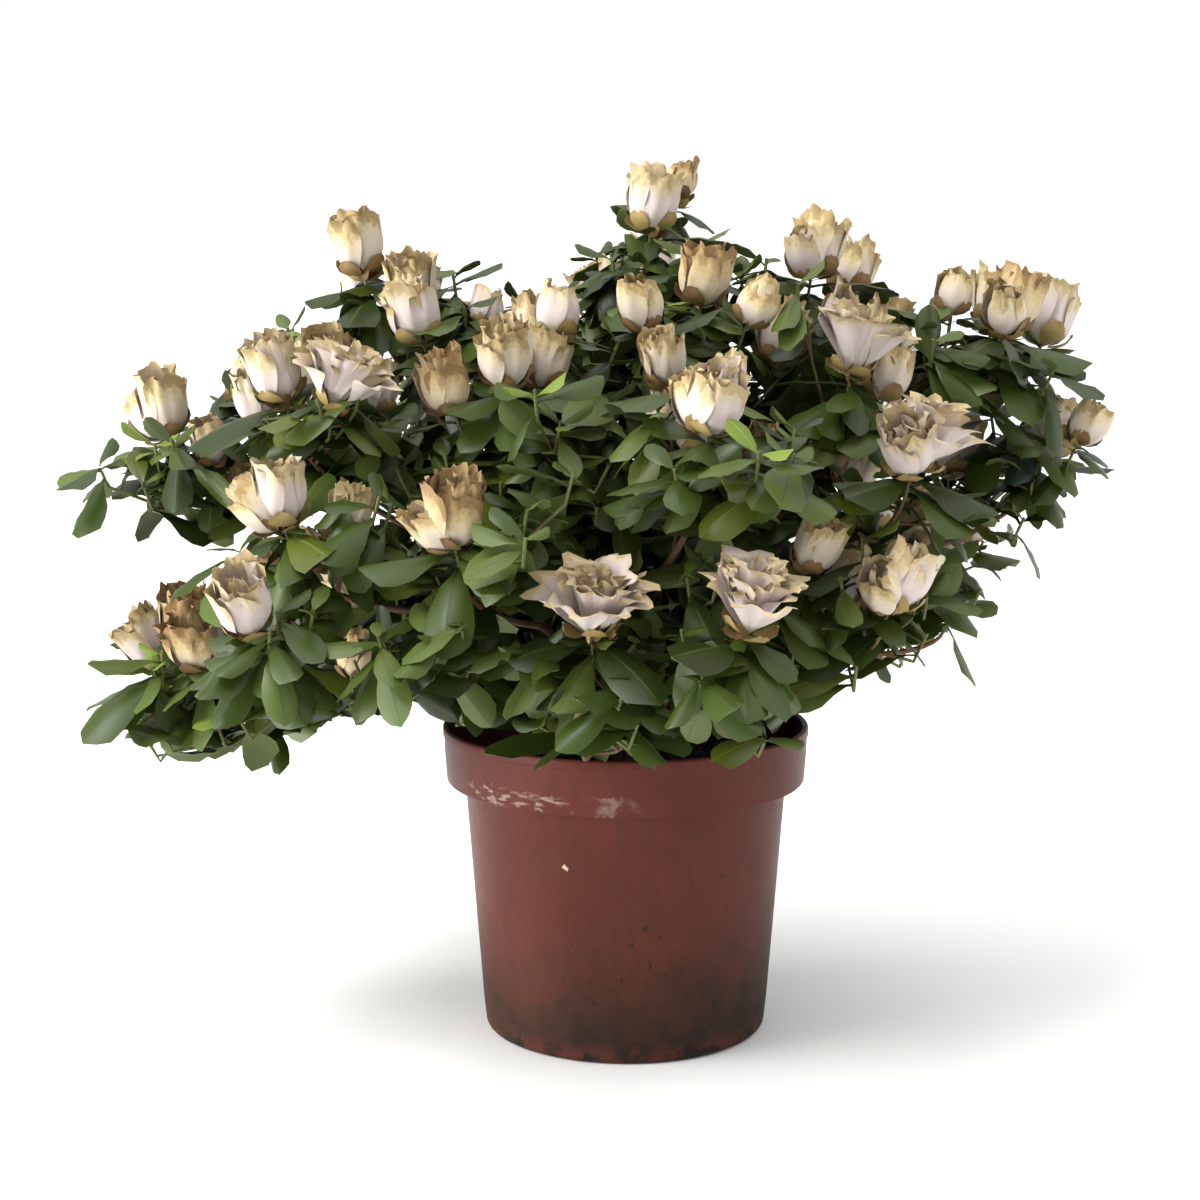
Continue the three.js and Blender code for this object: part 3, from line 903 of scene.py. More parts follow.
class Growth:
    """One mass as it grows: its shoots, the finer twigs and spurs, and their leaves and blossoms."""

    def __init__(
        self,
        placed: Placed,
        bough: Bough,
        space: Space,
        finer: Finer,
        outline: Outline,
    ) -> None:
        """Grows the mass.

        Args:
            placed: the mass.
            bough: the bough that carries it.
            space: the space that it keeps to.
            finer: what goes beyond the solids.
            outline: the crown's outline.
        """
        self.placed = placed
        self.space = space
        self.finer = finer
        self.outline = outline
        self.dice = Dice(placed.seed)
        self.more = Dice(placed.seed + finer.seed)
        self.shoots = self.near = self.side_shoots()
        for shoot in self.shoots:
            shoot.turn = self.dice.either(1)
            self.add_blossoms(shoot)
        for shoot in self.shoots:
            self.add_whorl(shoot)
        self.twigs = [twig for shoot in self.shoots for twig in self.twigs_of(shoot)]
        self.near = self.shoots + self.twigs
        for twig in self.twigs:
            self.crown_twig(twig)
        for shoot in self.near:
            self.fill(shoot, finer.twig_whorl if shoot.parent else finer.tiers, FINER_MANNER)
        self.near = self.spurs_of(bough)
        for spur in self.near:
            self.fill(spur, finer.twig_whorl, SPUR_MANNER)
        self.twigs += self.near
        self.trim()
        self.deal_tones()

    def side_shoots(self) -> list[Shoot]:
        """The stem of the mass, and the side shoots that leave it by the golden angle.

        Returns:
            The shoots, the stem first.
        """
        placed, dice = self.placed, self.dice
        clusters = placed.mass.blossoms
        leader = Shoot(placed.path, placed.axis, TWIG.stem_radius, TWIG.stem_steps, clusters[0])
        shoots = [leader]
        first_turn = dice.between(0, 2 * math.pi)
        for i, cluster in enumerate(clusters[1:], start=1):
            share = TWIG.highest - ((TWIG.highest - TWIG.lowest) * (i - 1)) / (len(clusters) - 2)
            start = leader.point_at(share + dice.between(0, CHANCE.start))
            full_length = TWIG.length * dice.between(*CHANCE.shoot_length)
            for attempt in range(TRIES.count):
                lean = math.radians(TWIG.spread * dice.between(*CHANCE.shoot_lean))
                turn = first_turn + i * GOLDEN + attempt * TRIES.turn
                outwards = leaning(placed.along, lean, turn + dice.either(CHANCE.shoot_turn))
                turned_up = unit(UP + outwards * TWIG.turn_out)
                tip = start + unit(outwards + UP * TWIG.lift) * full_length * TRIES.shorter**attempt
                path = Bezier((start, tip - turned_up * TWIG.upright, tip - turned_up * WHORL_HEIGHT))
                shoot = Shoot(path, turned_up, TWIG.radius, TWIG.steps, cluster)
                if self.space.holds(shoot.waypoints(), TWIG.radius):
                    shoots.append(shoot)
                    break
        return shoots

    def twigs_of(self, shoot: Shoot) -> list[Shoot]:
        """The finer twigs that leave a shoot.

        Args:
            shoot: the shoot.

        Returns:
            The twigs that fit.
        """
        finer, dice = self.finer, self.more
        found = []
        first_turn = dice.between(0, 2 * math.pi)
        for i, share in enumerate(finer.twigs):
            start = shoot.path.at(share)
            tangent = shoot.path.tangent(share)
            for attempt in range(finer.tries):
                lean = math.radians(dice.between(*finer.twig_lean))
                turn = first_turn + i * GOLDEN + attempt * 2 * TRIES.turn
                outwards = leaning(tangent, lean, turn + dice.either(CHANCE.shoot_turn))
                turned_up = unit(UP + outwards * TWIG.turn_out)
                length = dice.between(*finer.twig_length) * TRIES.shorter**attempt
                base = start + unit(outwards + UP * TWIG.lift) * length - turned_up * WHORL_HEIGHT
                twig = self.fine_shoot(start, base, outwards * 2, turned_up, shoot)
                if self.space.holds(twig.path.row(6)[3:], finer.twig_radius, FINER_MANNER.ease):
                    found.append(twig)
                    break
        return found

    def spurs_of(self, bough: Bough) -> list[Shoot]:
        """Short leafy spurs along the bough, which fill the inside of the crown.

        Args:
            bough: the bough.

        Returns:
            The spurs that fit.
        """
        finer, dice = self.finer, self.more
        found = []
        for i, share in enumerate(finer.spurs):
            start = bough.curve.at(share)
            tangent = bough.curve.tangent(share)
            for attempt in range(finer.tries):
                turn = (i + attempt) * GOLDEN + dice.either(finer.spur_turn)
                outwards = leaning(tangent, math.radians(dice.between(*finer.spur_lean)), turn)
                turned_up = unit(UP * finer.spur_rise + outwards)
                tip = start + outwards * dice.between(*finer.spur_length)
                base = tip - turned_up * WHORL_HEIGHT * 0.5
                spur = self.fine_shoot(start, base, outwards, turned_up, None)
                if self.space.holds(spur.path.row(6)[3:], finer.twig_radius, SPUR_MANNER.ease):
                    found.append(spur)
                    break
        return found

    def fine_shoot(self, start: Vec, base: Vec, bow: Vec, axis: Vec, parent: Shoot | None) -> Shoot:
        """A finer twig from its start to the base of its whorl, bowed by a little."""
        path = Bezier((start, mix(start, base, 0.6) + bow, base))
        return Shoot(path, axis, self.finer.twig_radius, 3, parent=parent)

    def add_blossoms(self, shoot: Shoot) -> None:
        """Sets a shoot's cluster of blossoms on its tip.

        Args:
            shoot: the shoot.
        """
        forms = CLUSTERS[shoot.cluster]
        for i, wanted in enumerate(forms):
            more = CLUSTER_LEAN["first"] + CLUSTER_LEAN["more"] * i
            lean = math.radians(more if len(forms) > 1 else CLUSTER_LEAN["alone"])
            for attempt in range(TRIES.count):
                axis = leaning(shoot.axis, lean, shoot.turn + i * math.pi + attempt * TRIES.turn)
                form = wanted if attempt < TRIES.before_bud else Form.BUD
                blossom = Blossom(form, shoot.tip, axis)
                if self.space.holds(blossom.samples(), 0):
                    shoot.blossoms.append(blossom)
                    break

    def crown_twig(self, twig: Shoot) -> None:
        """Sets a smaller blossom on some of the finer twigs.

        Args:
            twig: the twig.
        """
        finer, dice = self.finer, self.more
        twig.turn = dice.either(math.pi)
        full = self.outline.is_full(twig.tip)
        form = (Form.BUD, Form.GOBLET, Form.GOBLET, Form.OPEN if full else Form.BUD)[dice.below(4)]
        share = finer.crowned_top if twig.tip[2] > finer.top_from else finer.crowned
        wanted = dice.chance(1.0 if full else share)
        axis = leaning(twig.axis, finer.blossom_lean, twig.turn)
        size = dice.between(*finer.blossom_size) * (finer.full_size if full else 1.0)
        samples = Blossom(form, twig.tip, axis, size).samples()
        clear = not any(other.covers(samples) for shoot in self.near for other in shoot.blossoms)
        ease = finer.full_ease if full else FINER_MANNER.ease
        if wanted and clear and self.space.holds(samples, 0, ease):
            twig.blossoms.append(Blossom(form, twig.tip, axis, size))

    def add_whorl(self, shoot: Shoot) -> None:
        """Sets the two tiers of a shoot's whorl.

        Args:
            shoot: the shoot.
        """
        middles = [leaf.middle for other in self.near if other is not shoot for leaf in other.leaves]
        for tier in TIERS:
            root = shoot.tip + shoot.axis * (LEAF.foot / 2 - tier.below)
            for side in range(3):
                turn = shoot.turn + math.radians(tier.turn) + 2 * math.pi * (side + 0.5) / 3
                seat = Seat(root, shoot.axis, tier.lean, turn, CHANCE.leaf_size)
                shoot.leaves += self.try_leaf(seat, self.dice, WHORL_MANNER, middles)

    def fill(self, shoot: Shoot, tiers: Tiers, manner: Manner) -> None:
        """Sets further leaves round a shoot's tip and along its length.

        Args:
            shoot: the shoot or twig.
            tiers: the further tiers of its whorl.
            manner: how the leaves are tried.
        """
        finer, dice = self.finer, self.more
        seats = []
        for below, lean, count, least, most in tiers:
            turn = shoot.turn + dice.either(0.5) + finer.tier_turn
            for i in range(count):
                root = shoot.tip - shoot.axis * (below + dice.either(1.0))
                seats.append(Seat(root, shoot.axis, lean, turn + 2 * math.pi * i / count, (least, most)))
        length = shoot.path.lengths()[-1]
        for i in range(int(finer.along_share * length / finer.along_step)):
            share = shoot.path.parameter(1 - (i + 0.5) * finer.along_step / length)
            root = shoot.path.at(share)
            turn = shoot.turn + (i + 1) * GOLDEN
            seats.append(Seat(root, shoot.path.tangent(share), finer.along_lean, turn, finer.along_size))
        middles = [leaf.middle for other in self.near for leaf in other.leaves]
        for seat in seats:
            grown = self.try_leaf(seat, dice, manner, middles)
            shoot.leaves += grown
            middles += [leaf.middle for leaf in grown]

    def try_leaf(self, seat: Seat, dice: Dice, manner: Manner, middles: Sequence[Vec]) -> list[Leaf]:
        """Tries a leaf on a seat. It leans further and is shorter with every try.

        Args:
            seat: where it may grow.
            dice: a run of numbers.
            manner: how it is tried.
            middles: the middles of the leaves around it.

        Returns:
            The leaf, or nothing, as a list.
        """
        for attempt in range(manner.tries):
            lean = math.radians(seat.lean) + attempt * LEAF.try_lean + dice.either(CHANCE.leaf_lean)
            turn = seat.turn + attempt * manner.try_turn + dice.either(manner.turn)
            direction = leaning(seat.axis, lean, turn)
            size = dice.between(*seat.sizes) * TRIES.shorter**attempt
            leaf = Leaf.on(seat.root, seat.axis, direction, size)
            leaf.width *= manner.narrow
            apart = manner.apart * (leaf.length if manner.by_size else LEAF.length) / LEAF.length
            if middles and np.min(np.linalg.norm(np.array(middles) - leaf.middle, axis=1)) <= apart:
                continue
            samples = leaf.samples()
            covered = any(blossom.covers(samples) for other in self.near for blossom in other.blossoms)
            if not covered and self.space.holds(samples, 0, manner.ease):
                return [leaf]
        return []

    def trim(self) -> None:
        """Takes out what passes the crown's outline, but for a stray leaf here and there.

        Blossoms go from shoots that stand further out than the mass's own head, but for the full spots.
        """
        head = self.placed.mass.radius
        rim = head + self.finer.rim_margin if head >= self.finer.rim_from else math.inf
        for shoot in self.shoots + self.twigs:
            if math.hypot(shoot.tip[0], shoot.tip[1]) > rim and not self.outline.is_full(shoot.tip):
                shoot.blossoms = []
        for shoot in self.shoots + self.twigs:
            kept = []
            for leaf in shoot.leaves:
                ends = np.array((leaf.root + leaf.direction * leaf.length, leaf.middle))
                if self.outline.holds(ends) or self.more.chance(self.finer.stray):
                    kept.append(leaf)
            shoot.leaves = kept
            shoot.blossoms = [one for one in shoot.blossoms if self.outline.holds(one.samples())]
        self.shoots = [self.shoots[0], *(shoot for shoot in self.shoots[1:] if self.keeps(shoot))]
        held = {id(shoot) for shoot in self.shoots} | {id(None)}
        self.twigs = [twig for twig in self.twigs if id(twig.parent) in held and self.keeps(twig)]

    def keeps(self, shoot: Shoot) -> bool:
        """True if enough grows on a shoot, and its tip is inside the outline."""
        return not shoot.is_bare and self.outline.holds(shoot.tip[None, :])

    def deal_tones(self) -> None:
        """Deals a green to every leaf, mostly one green to a spray.

        The small leaves of a few sprays are young, and a rare leaf is bluish.
        """
        finer, dice = self.finer, self.more
        for shoot in self.shoots + self.twigs:
            # Some sprays and leaves get the light grey-green of painted sheen.
            spray = (LeafTone.DEEP, LeafTone.MIDDLE, LeafTone.MIDDLE, LeafTone.GREY)[dice.below(4)]
            flush = dice.chance(finer.young_flush)
            for leaf in shoot.leaves:
                young = leaf.length < finer.young_under * LEAF.length
                other = (LeafTone.DEEP, LeafTone.MIDDLE, LeafTone.GREY, LeafTone.OLIVE)[dice.below(4)]
                leaf.tone = spray if dice.chance(finer.own_tone) else other
                if young and flush:
                    leaf.tone = LeafTone.YOUNG
                elif dice.chance(finer.bluish):
                    leaf.tone = LeafTone.BLUISH


class Crown:
    """The whole crown: boughs, shoots, finer twigs, leaves and blossoms, grown from named sizes."""

    def __init__(self, finer: Finer) -> None:
        """Places the masses and grows them.

        Args:
            finer: what goes beyond the solids.
        """
        masses = [place(mass, FIRST_SEED + i) for i, mass in enumerate(MASSES)]
        self.boughs: dict[str, Bough] = {}
        for placed in masses:
            parent = self.boughs.get(placed.mass.parent)
            self.boughs[placed.mass.name] = bough_of(placed, parent)
        limbs = Limbs(self.boughs.values(), masses)
        self.shoots: list[Shoot] = []
        self.twigs: list[Shoot] = []
        for placed in masses:
            space = Space(placed, masses, limbs)
            growth = Growth(placed, self.boughs[placed.mass.name], space, finer, Outline())
            self.shoots += growth.shoots
            self.twigs += growth.twigs


# ------------------------------------------------------------------ finishes


def tint(red: float, green: float, blue: float) -> tuple[float, float, float, float]:
    """A colour given from 0 to 255 as a display shows it, in the scene's linear light.

    Args:
        red: the red channel.
        green: the green channel.
        blue: the blue channel.

    Returns:
        The colour.
    """
    shares = (channel / 255 for channel in (red, green, blue))
    linear = (s / 12.92 if s <= 0.04045 else ((s + 0.055) / 1.055) ** 2.4 for s in shares)
    return (*linear, 1.0)


def new_material(name: str) -> tuple[Material, bpy.types.Node]:
    """An empty material with one shader.

    Args:
        name: the material's name.

    Returns:
        The material and its shader.
    """
    material = bpy.data.materials.new(name)
    material.use_nodes = True
    return material, material.node_tree.nodes["Principled BSDF"]


@dataclass(frozen=True)
class Plain:
    """A finish of one colour, for the many small leaves, petals and twigs."""

    name: str
    colour: Triple
    roughness: float = 0.5
    specular: float = 0.4
    sheen: float = 0.0

    def material(self) -> Material:
        """The finish as a material, made once.

        Returns:
            The material.
        """
        found = bpy.data.materials.get(self.name)
        if found:
            return found
        material, shader = new_material(self.name)
        material.diffuse_color = tint(*self.colour)
        shader.inputs["Base Color"].default_value = tint(*self.colour)
        shader.inputs["Roughness"].default_value = self.roughness
        shader.inputs["Specular IOR Level"].default_value = self.specular
        shader.inputs["Sheen Weight"].default_value = self.sheen
        return material


@dataclass(frozen=True)
class LeafFinish:
    """One green: the colours of the blade and its rib, and their roughness and shine."""

    blade: Triple
    rib: Triple
    roughness: float = 0.38
    specular: float = 0.34
    rib_specular: float = 0.3


LEAF_FINISH = {
    LeafTone.DEEP: LeafFinish((36, 48, 13), (58, 71, 30)),
    LeafTone.MIDDLE: LeafFinish((50, 64, 17), (45, 58, 21)),
    # The light grey-green blade is painted sheen.
    LeafTone.GREY: LeafFinish((72, 86, 34), (62, 75, 38), 0.4, 0.36),
    LeafTone.OLIVE: LeafFinish((70, 79, 20), (87, 97, 40), 0.4),
    LeafTone.YOUNG: LeafFinish((100, 118, 40), (134, 148, 70), 0.42, 0.3, 0.4),
    LeafTone.BLUISH: LeafFinish((60, 76, 70), (84, 102, 94), 0.4, 0.4, 0.4),
}
LEAF_UNDER = Plain("leaf_underside", (84, 98, 52), 0.6, 0.25)
LEAF_UNDER_YOUNG = Plain("leaf_underside_young", (122, 136, 70), 0.6)


class PetalTone(IntEnum):
    """How far a blossom's petals have aged."""

    FRESH = 0
    CREAM = 1
    AGED = 2


GRADES = 13
SCALE_PART = GRADES


@dataclass(frozen=True)
class PetalFinish:
    """Thin matt petals whose colour goes in grades from the foot to the ragged rim.

    Each stop is a share of the way with the colour there, from 0 to 255.
    """

    name: str
    stops: tuple[tuple[float, Triple], ...]
    scale: Triple

    def grades(self) -> list[Plain]:
        """The finish of each grade, and then that of the scales round the blossom's foot.

        Returns:
            The finishes.
        """
        places, colours = zip(*self.stops)
        found = []
        for i in range(GRADES):
            colour = [np.interp((i + 0.5) / GRADES, places, channel) for channel in zip(*colours)]
            found.append(Plain(f"petal_{self.name}_{i}", tuple(colour), 0.72, 0.2, 0.15))
        return [*found, Plain(f"bud_scale_{self.name}", self.scale, 0.7, 0.3)]


PETAL_FINISH = {
    PetalTone.FRESH: PetalFinish(
        "fresh",
        (
            (0.0, (184, 180, 144)),
            (0.14, (192, 183, 172)),
            (0.62, (198, 184, 181)),
            (0.79, (195, 180, 165)),
            (0.9, (191, 174, 138)),
            (1.0, (168, 146, 104)),
        ),
        (146, 126, 78),
    ),
    PetalTone.CREAM: PetalFinish(
        "cream",
        (
            (0.0, (184, 180, 136)),
            (0.16, (198, 187, 172)),
            (0.56, (200, 187, 174)),
            (0.76, (200, 184, 152)),
            (0.89, (184, 165, 122)),
            (1.0, (154, 129, 86)),
        ),
        (128, 102, 64),
    ),
    PetalTone.AGED: PetalFinish(
        "aged",
        (
            (0.0, (176, 166, 124)),
            (0.2, (195, 181, 159)),
            (0.5, (191, 175, 146)),
            (0.74, (180, 158, 114)),
            (1.0, (134, 104, 66)),
        ),
        (104, 80, 50),
    ),
}


class TwigTone(IntEnum):
    """How old a stretch of twig is."""

    WOODY = 0
    RED = 1
    GREEN = 2


TWIG_FINISH = {
    TwigTone.WOODY: Plain("twig_woody", (104, 82, 60), 0.8),
    TwigTone.RED: Plain("twig_red", (106, 74, 48), 0.7),
    TwigTone.GREEN: Plain("twig_green", (86, 92, 44), 0.6),
}


class Tree:
    """A node tree in the making."""

    def __init__(self, tree: bpy.types.NodeTree) -> None:
        """Holds the tree."""
        self.tree = tree

    def give(self, socket: Socket, value: object) -> None:
        """Links or sets one input.

        Args:
            socket: the input.
            value: a value, or another node's socket.
        """
        if isinstance(value, Socket):
            self.tree.links.new(value, socket)
        else:
            socket.default_value = value

    def add(self, kind: str, inputs: Mapping[str | int, object], **settings: object) -> bpy.types.Node:
        """Adds a node.

        Args:
            kind: the node's type.
            inputs: a value or another node's socket for each input.
            settings: the node's own properties.

        Returns:
            The node.
        """
        node = self.tree.nodes.new(kind)
        for name, value in settings.items():
            setattr(node, name, value)
        for name, value in inputs.items():
            self.give(node.inputs[name], value)
        return node

    def math(self, operation: str, *values: object) -> Socket:
        """The result of a sum on numbers or sockets."""
        return self.add("ShaderNodeMath", dict(enumerate(values)), operation=operation).outputs[0]

    def times(self, first: object, second: object) -> Socket:
        """One number or socket times another."""
        return self.math("MULTIPLY", first, second)

    def ramp(self, value: object, low: float, high: float, to: Pair = (0.0, 1.0)) -> Socket:
        """A value's smooth way from one number to another.

        Args:
            value: the value.
            low: where it starts.
            high: where it ends.
            to: the two numbers.

        Returns:
            The number on the way.
        """
        names = {"Value": value, "From Min": low, "From Max": high, "To Min": to[0], "To Max": to[1]}
        return self.add("ShaderNodeMapRange", names, interpolation_type="SMOOTHSTEP").outputs["Result"]

    def fall(self, value: object, low: float, high: float) -> Socket:
        """A value's smooth way from one at low to nothing at high."""
        return self.math("SUBTRACT", 1.0, self.ramp(value, low, high))


@dataclass(frozen=True)
class Stain:
    """A cover of another colour, there where soft noise rises from a low value to a high one."""

    scale: float
    detail: float
    low: float
    high: float
    strength: float
    colour: Triple
    stretch: Triple = (1, 1, 1)


class Nodes(Tree):
    """A material's nodes, with patterns on Object coordinates in metres."""

    def __init__(self, name: str) -> None:
        """Starts a material.

        Args:
            name: the material's name.
        """
        self.material, self.shader = new_material(name)
        super().__init__(self.material.node_tree)
        self.place = self.tree.nodes.new("ShaderNodeTexCoord").outputs["Object"]
        self.x, self.y, self.z = self.add("ShaderNodeSeparateXYZ", {0: self.place}).outputs

    def noise(self, scale: float, detail: float, stretch: Triple = (1, 1, 1)) -> Socket:
        """Soft noise.

        Args:
            scale: how fine it is, per metre.
            detail: how many finer layers it has.
            stretch: how much finer it is along each axis.

        Returns:
            The noise.
        """
        spread = self.add("ShaderNodeVectorMath", {0: self.place, 1: stretch}, operation="MULTIPLY")
        names = {"Vector": spread.outputs[0], "Scale": scale, "Detail": detail}
        return self.add("ShaderNodeTexNoise", names).outputs["Fac"]

    def mix(self, share: object, first: object, second: object) -> Socket:
        """A colour a share of the way from the first to the second."""
        return self.add("ShaderNodeMix", {0: share, 6: first, 7: second}, data_type="RGBA").outputs[2]

    def over(self, body: object, cover: object, strength: object, colour: Triple) -> Socket:
        """A body colour under a cover of another colour, given from 0 to 255."""
        return self.mix(self.times(cover, strength), body, tint(*colour))

    def stained(self, body: object, stain: Stain, where: object = 1.0) -> Socket:
        """A body colour under a stain, which may be there in some places only."""
        cover = self.ramp(self.noise(stain.scale, stain.detail, stain.stretch), stain.low, stain.high)
        return self.over(body, self.times(cover, where), stain.strength, stain.colour)

    def dress(self, height: object = None, depth: float = 0.0, **inputs: object) -> Material:
        """Sets the shader's own inputs, with a space in a name given as an underscore.

        Args:
            height: the relief, if any.
            depth: how deep it is in metres.
            inputs: a value or a socket for each.

        Returns:
            The finished material.
        """
        if height is not None:
            relief = {"Height": height, "Distance": depth, "Strength": 1.0}
            inputs["Normal"] = self.add("ShaderNodeBump", relief).outputs["Normal"]
        for name, value in inputs.items():
            self.give(self.shader.inputs[name.replace("_", " ")], value)
        return self.material


@dataclass(frozen=True)
class PotPlastic:
    """Reddish-brown moulded plastic, scuffed under its band and dirty at its foot. Sizes in metres."""

    dark: Triple = (79, 36, 27)
    light: Triple = (91, 44, 35)
    streaks: Stain = Stain(120, 4, 0.42, 0.74, 0.45, (68, 38, 26), (1, 1, 0.3))
    dirt_top: float = 0.072
    dirt_lean: float = -0.16
    dirt_edge: float = 0.045
    haze: Triple = (43, 31, 21)
    haze_strength: float = 0.92
    mottle: Stain = Stain(150, 6, 0.46, 0.6, 0.6, (36, 29, 21))
    black: Stain = Stain(120, 7, 0.4, 0.54, 0.85, (26, 23, 18))
    rubbed: Stain = Stain(150, 6, 0.4, 0.56, 0.6, (90, 44, 36))
    mark: Triple = (38, 28, 20)
    mark_strength: float = 0.9
    scuff: Triple = (170, 146, 136)
    scuff_strength: float = 0.6
    scuff_height: float = 0.1085
    chip: Triple = (196, 168, 138)
    chip_at: Pair = (-0.024, 0.081)
    chip_half: Pair = (0.001, 0.0012)
    grain: float = 0.00014

    def material(self) -> Material:
        """The finish as a material.

        Returns:
            The material.
        """
        n = Nodes("pot_plastic")
        fine = n.noise(160, 5)
        body = n.mix(n.ramp(n.noise(16, 3), 0.3, 0.7), tint(*self.dark), tint(*self.light))
        body = self.dirt(n, n.stained(body, self.streaks))
        body = n.over(body, self.marks(n), self.mark_strength, self.mark)
        front = n.math("LESS_THAN", n.y, 0.0)
        body = n.over(body, n.times(self.scuffs(n, fine), front), self.scuff_strength, self.scuff)
        body = n.over(body, self.patch(n, self.chip_at, self.chip_half, 0.003), front, self.chip)
        rough = n.math("MULTIPLY_ADD", fine, 0.16, 0.34)
        rough = n.math("MULTIPLY_ADD", n.fall(n.z, 0.0, self.dirt_top), 0.22, rough)
        height = n.math("ADD", n.times(fine, 0.6), n.noise(800, 2))
        return n.dress(height, self.grain, Base_Color=body, Roughness=rough, Specular_IOR_Level=0.14)

    def dirt(self, n: Nodes, body: object) -> Socket:
        """Olive grime that gathers towards the foot, more at the right, and the foot's rubbed red edge.

        Args:
            n: the nodes.
            body: the colour under it.

        Returns:
            The colour with it.
        """
        lean = n.math("MULTIPLY_ADD", n.x, self.dirt_lean, n.z)
        edge = n.math("MULTIPLY_ADD", n.math("SUBTRACT", n.noise(38, 5), 0.5), self.dirt_edge, lean)
        haze = n.fall(edge, -0.002, self.dirt_top)
        body = n.over(body, haze, self.haze_strength, self.haze)
        body = n.stained(body, self.mottle, haze)
        body = n.stained(body, self.black, n.fall(edge, -0.004, 0.022))
        return n.stained(body, self.rubbed, n.fall(n.z, 0.002, 0.012))

    @staticmethod
    def marks(n: Nodes) -> Socket:
        """Small dark marks, which run upwards and get fewer towards the band.

        Args:
            n: the nodes.

        Returns:
            How much of them is there.
        """
        coarse = n.ramp(n.noise(300, 3, (1, 1, 0.6)), 0.66, 0.71)
        small = n.ramp(n.noise(700, 2, (1, 1, 0.7)), 0.67, 0.73)
        low = n.fall(n.math("MULTIPLY_ADD", n.x, -0.3, n.z), 0.03, 0.105)
        return n.times(n.math("MAXIMUM", coarse, small), low)

    def scuffs(self, n: Nodes, fine: object) -> Socket:
        """Whitish scuffs low on the band: a long one at the front left, and a fainter one in the middle.

        Args:
            n: the nodes.
            fine: fine noise.

        Returns:
            How much of them is there.
        """
        left = self.patch(n, (-0.043, self.scuff_height), (0.024, 0.0042), 0.004)
        left = n.times(left, n.ramp(n.noise(240, 6, (0.5, 1, 2.2)), 0.48, 0.62))
        middle = self.patch(n, (-0.006, self.scuff_height), (0.012, 0.005), 0.004)
        middle = n.times(n.times(middle, n.ramp(fine, 0.42, 0.62)), 0.6)
        return n.math("MAXIMUM", left, middle)

    @staticmethod
    def patch(n: Nodes, at: Pair, half: Pair, ragged: float) -> Socket:
        """A soft ragged patch on the front.

        Args:
            n: the nodes.
            at: the patch's middle, to the right and up.
            half: half its width and half its height.
            ragged: how far its edge wanders.

        Returns:
            How much of the patch is there.
        """
        wander = n.times(n.math("SUBTRACT", n.noise(420, 3), 0.5), ragged * 2)
        far_x = n.math("DIVIDE", n.math("SUBTRACT", n.math("ADD", n.x, wander), at[0]), half[0])
        far_z = n.math("DIVIDE", n.math("SUBTRACT", n.math("SUBTRACT", n.z, wander), at[1]), half[1])
        return n.fall(n.math("ADD", n.times(far_x, far_x), n.times(far_z, far_z)), 0.3, 1.0)


@dataclass(frozen=True)
class BarkFinish:
    """Thin bark: fissured and grey-brown on the stem, redder and smoother on the boughs."""

    name: str
    dark: Triple
    light: Triple
    scale: float

    def material(self) -> Material:
        """The finish as a material.

        Returns:
            The material.
        """
        n = Nodes(self.name)
        fissures = n.noise(self.scale, 6, (1, 1, 0.25))
        colour = n.mix(n.ramp(fissures, 0.36, 0.62), tint(*self.dark), tint(*self.light))
        colour = n.stained(colour, Stain(self.scale * 0.2, 3, 0.5, 0.75, 0.5, (108, 100, 84)))
        rough = n.math("MULTIPLY_ADD", fissures, 0.2, 0.66)
        return n.dress(fissures, 0.0003, Base_Color=colour, Roughness=rough)


@dataclass(frozen=True)
class CompostFinish:
    """Damp dark peat with paler fibres."""

    dark: Triple = (24, 19, 15)
    light: Triple = (52, 41, 31)
    fibres: Stain = Stain(900, 4, 0.62, 0.72, 0.4, (96, 78, 56), (1, 0.3, 1))

    def material(self) -> Material:
        """The finish as a material.

        Returns:
            The material.
        """
        n = Nodes("compost_peat")
        lumps = n.noise(420, 5)
        colour = n.mix(n.ramp(lumps, 0.3, 0.7), tint(*self.dark), tint(*self.light))
        colour = n.stained(colour, self.fibres)
        rough = n.math("MULTIPLY_ADD", lumps, 0.2, 0.75)
        return n.dress(lumps, 0.0008, Base_Color=colour, Roughness=rough)


@dataclass(frozen=True)
class FloorFinish:
    """A plain pale floor."""

    def material(self) -> Material:
        """The finish as a material.

        Returns:
            The material.
        """
        n = Nodes("floor_pale")
        soft = n.mix(n.noise(3, 2), tint(236, 236, 234), tint(240, 240, 239))
        return n.dress(Base_Color=soft, Roughness=0.9, Specular_IOR_Level=0.1)


# ------------------------------------------------------------------ meshes and Geometry Nodes


def new_mesh(name: str, points: Vec, faces: Sequence, edges: Sequence = ()) -> Mesh:
    """A mesh from points in metres.

    Args:
        name: its name.
        points: rows of points.
        faces: the corners of each face.
        edges: loose edges.

    Returns:
        The mesh.
    """
    mesh = bpy.data.meshes.new(name)
    mesh.from_pydata([tuple(point) for point in points], list(edges), list(faces))
    mesh.update()
    return mesh


def shape_of(name: str, points: Vec, faces: Sequence, parts: Sequence[int]) -> Piece:
    """A small smooth shape to be copied, which isn't part of the scene.

    Args:
        name: its name.
        points: rows of points.
        faces: the corners of each face.
        parts: the part that each face belongs to.

    Returns:
        The shape.
    """
    mesh = new_mesh(name, points, faces)
    mesh.shade_smooth()
    store(mesh, "part", "INT", "FACE", parts)
    return bpy.data.objects.new(name, mesh)


def shown(name: str, mesh: Mesh) -> Piece:
    """A mesh as an object of the scene.

    Args:
        name: the object's name.
        mesh: the mesh.

    Returns:
        The object.
    """
    piece = bpy.data.objects.new(name, mesh)
    bpy.context.scene.collection.objects.link(piece)
    return piece


